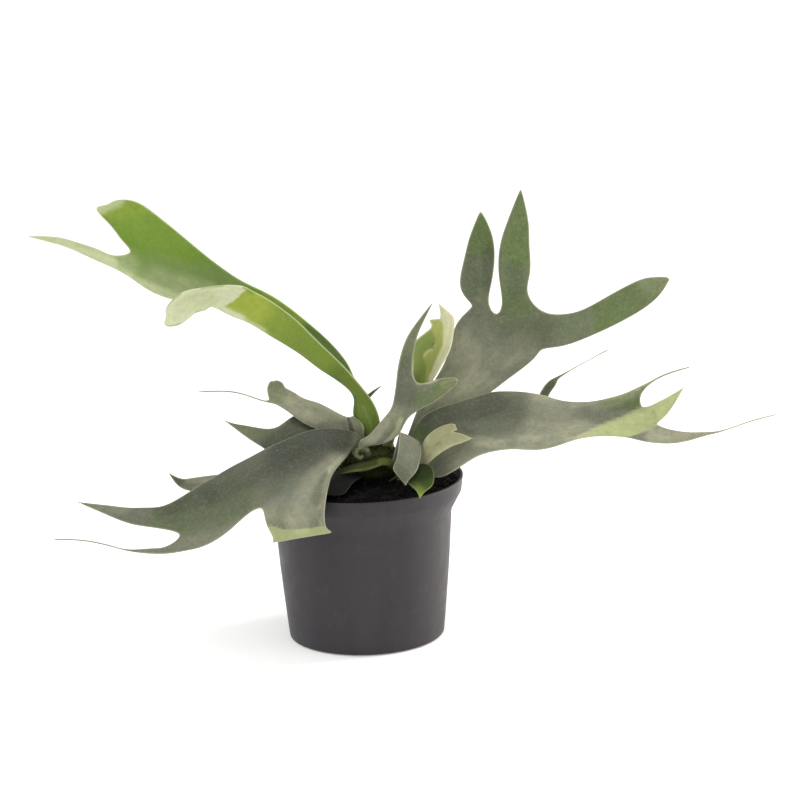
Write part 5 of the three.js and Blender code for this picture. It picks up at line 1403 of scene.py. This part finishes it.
def add_bud():
    """The fiddlehead: a tube through its path, round at both ends."""
    path = curved_line([place(mark) for mark in BUD_PATH], BUD_STEPS // (len(BUD_PATH) - 1))
    radii = np.interp(np.linspace(0, 1, len(path)), np.linspace(0, 1, len(BUD_RADII)), BUD_RADII)
    side = RIGHT
    vertices = []
    for i, at in enumerate(path):
        along = unit(path[min(i + 1, len(path) - 1)] - path[max(i - 1, 0)])
        side = unit(side - along * (side @ along))
        up = np.cross(along, side)
        for turn in (k / BUD_SIDES * math.tau for k in range(BUD_SIDES)):
            vertices.append(at + radii[i] * (side * math.cos(turn) + up * math.sin(turn)))
    last = path[-1] + unit(path[-1] - path[-2]) * radii[-1] / 2
    return new_piece("fiddlehead_bud", *closed_rings(vertices, BUD_SIDES, path[0], last))


def add_camera():
    """The eye, with the picture's lean."""
    across = math.cos(ROLL) * RIGHT - math.sin(ROLL) * UP
    upward = math.sin(ROLL) * RIGHT + math.cos(ROLL) * UP
    data = bpy.data.cameras.new("camera")
    data.sensor_width = SENSOR_WIDTH
    data.lens = SENSOR_WIDTH * SIGHT_DISTANCE / PIXEL_SIZE / IMAGE_WIDTH
    data.clip_end = SIGHT_LIMIT
    camera = put_in_scene("camera", data)
    turn = Matrix([across, upward, -AHEAD]).transposed().to_4x4()
    camera.matrix_world = Matrix.Translation(EYE * MM) @ turn
    bpy.context.scene.camera = camera


def hang(light, spot):
    """Hangs a light there, facing the plant."""
    lamp = put_in_scene(light.name, light)
    lamp.location = spot
    lamp.rotation_euler = (Vector(spot) - Vector(PANEL_AIM)).to_track_quat("Z", "Y").to_euler()
    return lamp


def add_stage():
    """A plain pale floor with soft light from all round and a broad light from above."""
    corners = [(-1, -1), (1, -1), (1, 1), (-1, 1)]
    floor = new_piece("floor", [(x * FLOOR_REACH, y * FLOOR_REACH, 0) for x, y in corners], [[0, 1, 2, 3]])
    values = {"Roughness": 0.9, "Specular IOR Level": 0.1, "Emission Color": colour(WHITE),
              "Emission Strength": FLOOR_GLOW}
    material, nodes, shader = new_material("pale_floor", values)
    cloud = nodes.grained(nodes.object_place(), *FLOOR_CLOUDS)
    nodes.feed(shader["Base Color"], nodes.mixed(cloud, *map(colour, PALE_FLOOR)))
    floor.data.materials.append(material)
    floor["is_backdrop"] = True

    world = bpy.data.worlds.new("soft_light")
    world.use_nodes = True
    sky = world.node_tree.nodes["Background"].inputs
    sky["Color"].default_value = colour(WHITE)
    sky["Strength"].default_value = SKY_STRENGTH
    bpy.context.scene.world = world
    bpy.context.scene.view_settings.view_transform = "Standard"

    sun = bpy.data.lights.new("broad_light", "SUN")
    sun.energy = SUN_STRENGTH
    sun.angle = math.radians(SUN_BREADTH)
    hang(sun, SUN_FROM)
    for side, (spot, power, tint) in PANELS.items():
        panel = bpy.data.lights.new(side + "_panel", "AREA")
        panel.shape = "RECTANGLE"
        panel.size, panel.size_y = PANEL_SIZE
        panel.energy = power
        panel.color = tint
        hang(panel, spot).visible_camera = False


def finished(piece, material, slot, *nodes):
    """Gives a piece its material and its place on the body, and hides the imported nodes that it stands for.
    The slot is not used.
    """
    if not piece.data.materials:
        piece.data.materials.append(material)
    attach(piece, "root")
    if nodes:
        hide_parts(*nodes)


add_camera()
add_stage()

felt = felt_group()
felts = {
    "frond_grey": felted("grey_felt", felt, GREY, warmth=0.35, mottling=0.18, streaks=0.12, specks=0.22),
    "frond_green": felted("green_felt", felt, GREEN, mottling=0.1, streaks=0.08, specks=0.15),
    "frond_young": felted("young_felt", felt, YOUNG, mottling=0.08, streaks=0.06, specks=0.12),
    "frond_pale": felted("pale_felt", felt, PALE, mottling=0.15, streaks=0.12, specks=0.2),
    "frond_small_green": felted("tongue_green", felt, TONGUE, mottling=0.1, streaks=0.1, specks=0.1,
                                margin=0.2, gloss=0.1, sheen=0.02),
    "shield_green": felted("shield_green", felt, SHIELD, mottling=0.15, streaks=0.1, specks=0.1,
                           margin=0.15, gloss=0.1, sheen=0.02),
    "shield_grey": felted("shield_grey", felt, DARK_SHIELD, specks=0.15, margin=0.2, gloss=0.1, sheen=0.04),
}
slots = {row["node"]: row["material_slot"] for row in frame["record"]["subparts"]}
for name, part in FRONDS.items():
    slot = slots[name]
    finished(add_blade(name + "_blade", part, COATS[name]), felts[slot], slot, name)

earth = earth_group()
# The potting mix is near black, partly its own colour and partly painted shade, as it lies in deep shade
# inside the pot; its lighter crumbs are its own colour
mix = earthy("potting_mix", earth, "020202 0a0809 43352f", scale=260, light_share=0.25, relief=0.6)
# The crown's tissue gets painted shade below 119 mm, where it lies in shade under the shields and fronds
tissue = earthy("old_tissue", earth, "252a10 3c431a 575e2e", scale=180, light_share=0.25, relief=0.7,
                shade_top=119)
fibres = earthy("brown_fibre", earth, "120d0b 221a15 3a2e26", scale=300)
fuzz = earthy("pale_fuzz", earth, "5a603f 7d8260 9fa283", scale=400)

soil = add_soil()
crumbs = strewn(soil, "mix_crumbs", "Crumbs", mix, **CRUMBS)
strands = strewn(soil, "mix_fibres", "Fibres", fibres, **FIBRES)
finished(soil, mix, "soil", "soil")
finished(crumbs, mix, "soil")
finished(strands, fibres, "soil")

crown = add_crown()
scales = strewn(crown, "crown_scales", "Scales", tissue, **SCALES)
finished(crown, tissue, "crown", "crown")
finished(scales, tissue, "crown")

bud = add_bud()
hairs = strewn(bud, "bud_hairs", "Hairs", fuzz, **BUD_HAIRS)
finished(bud, fuzz, "bud", "bud")
finished(hairs, fuzz, "bud")

finished(add_pot(pot_plastic()), None, "pot", "pot")

[[list(corner) for corner in box] for box in (cad_box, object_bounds())]
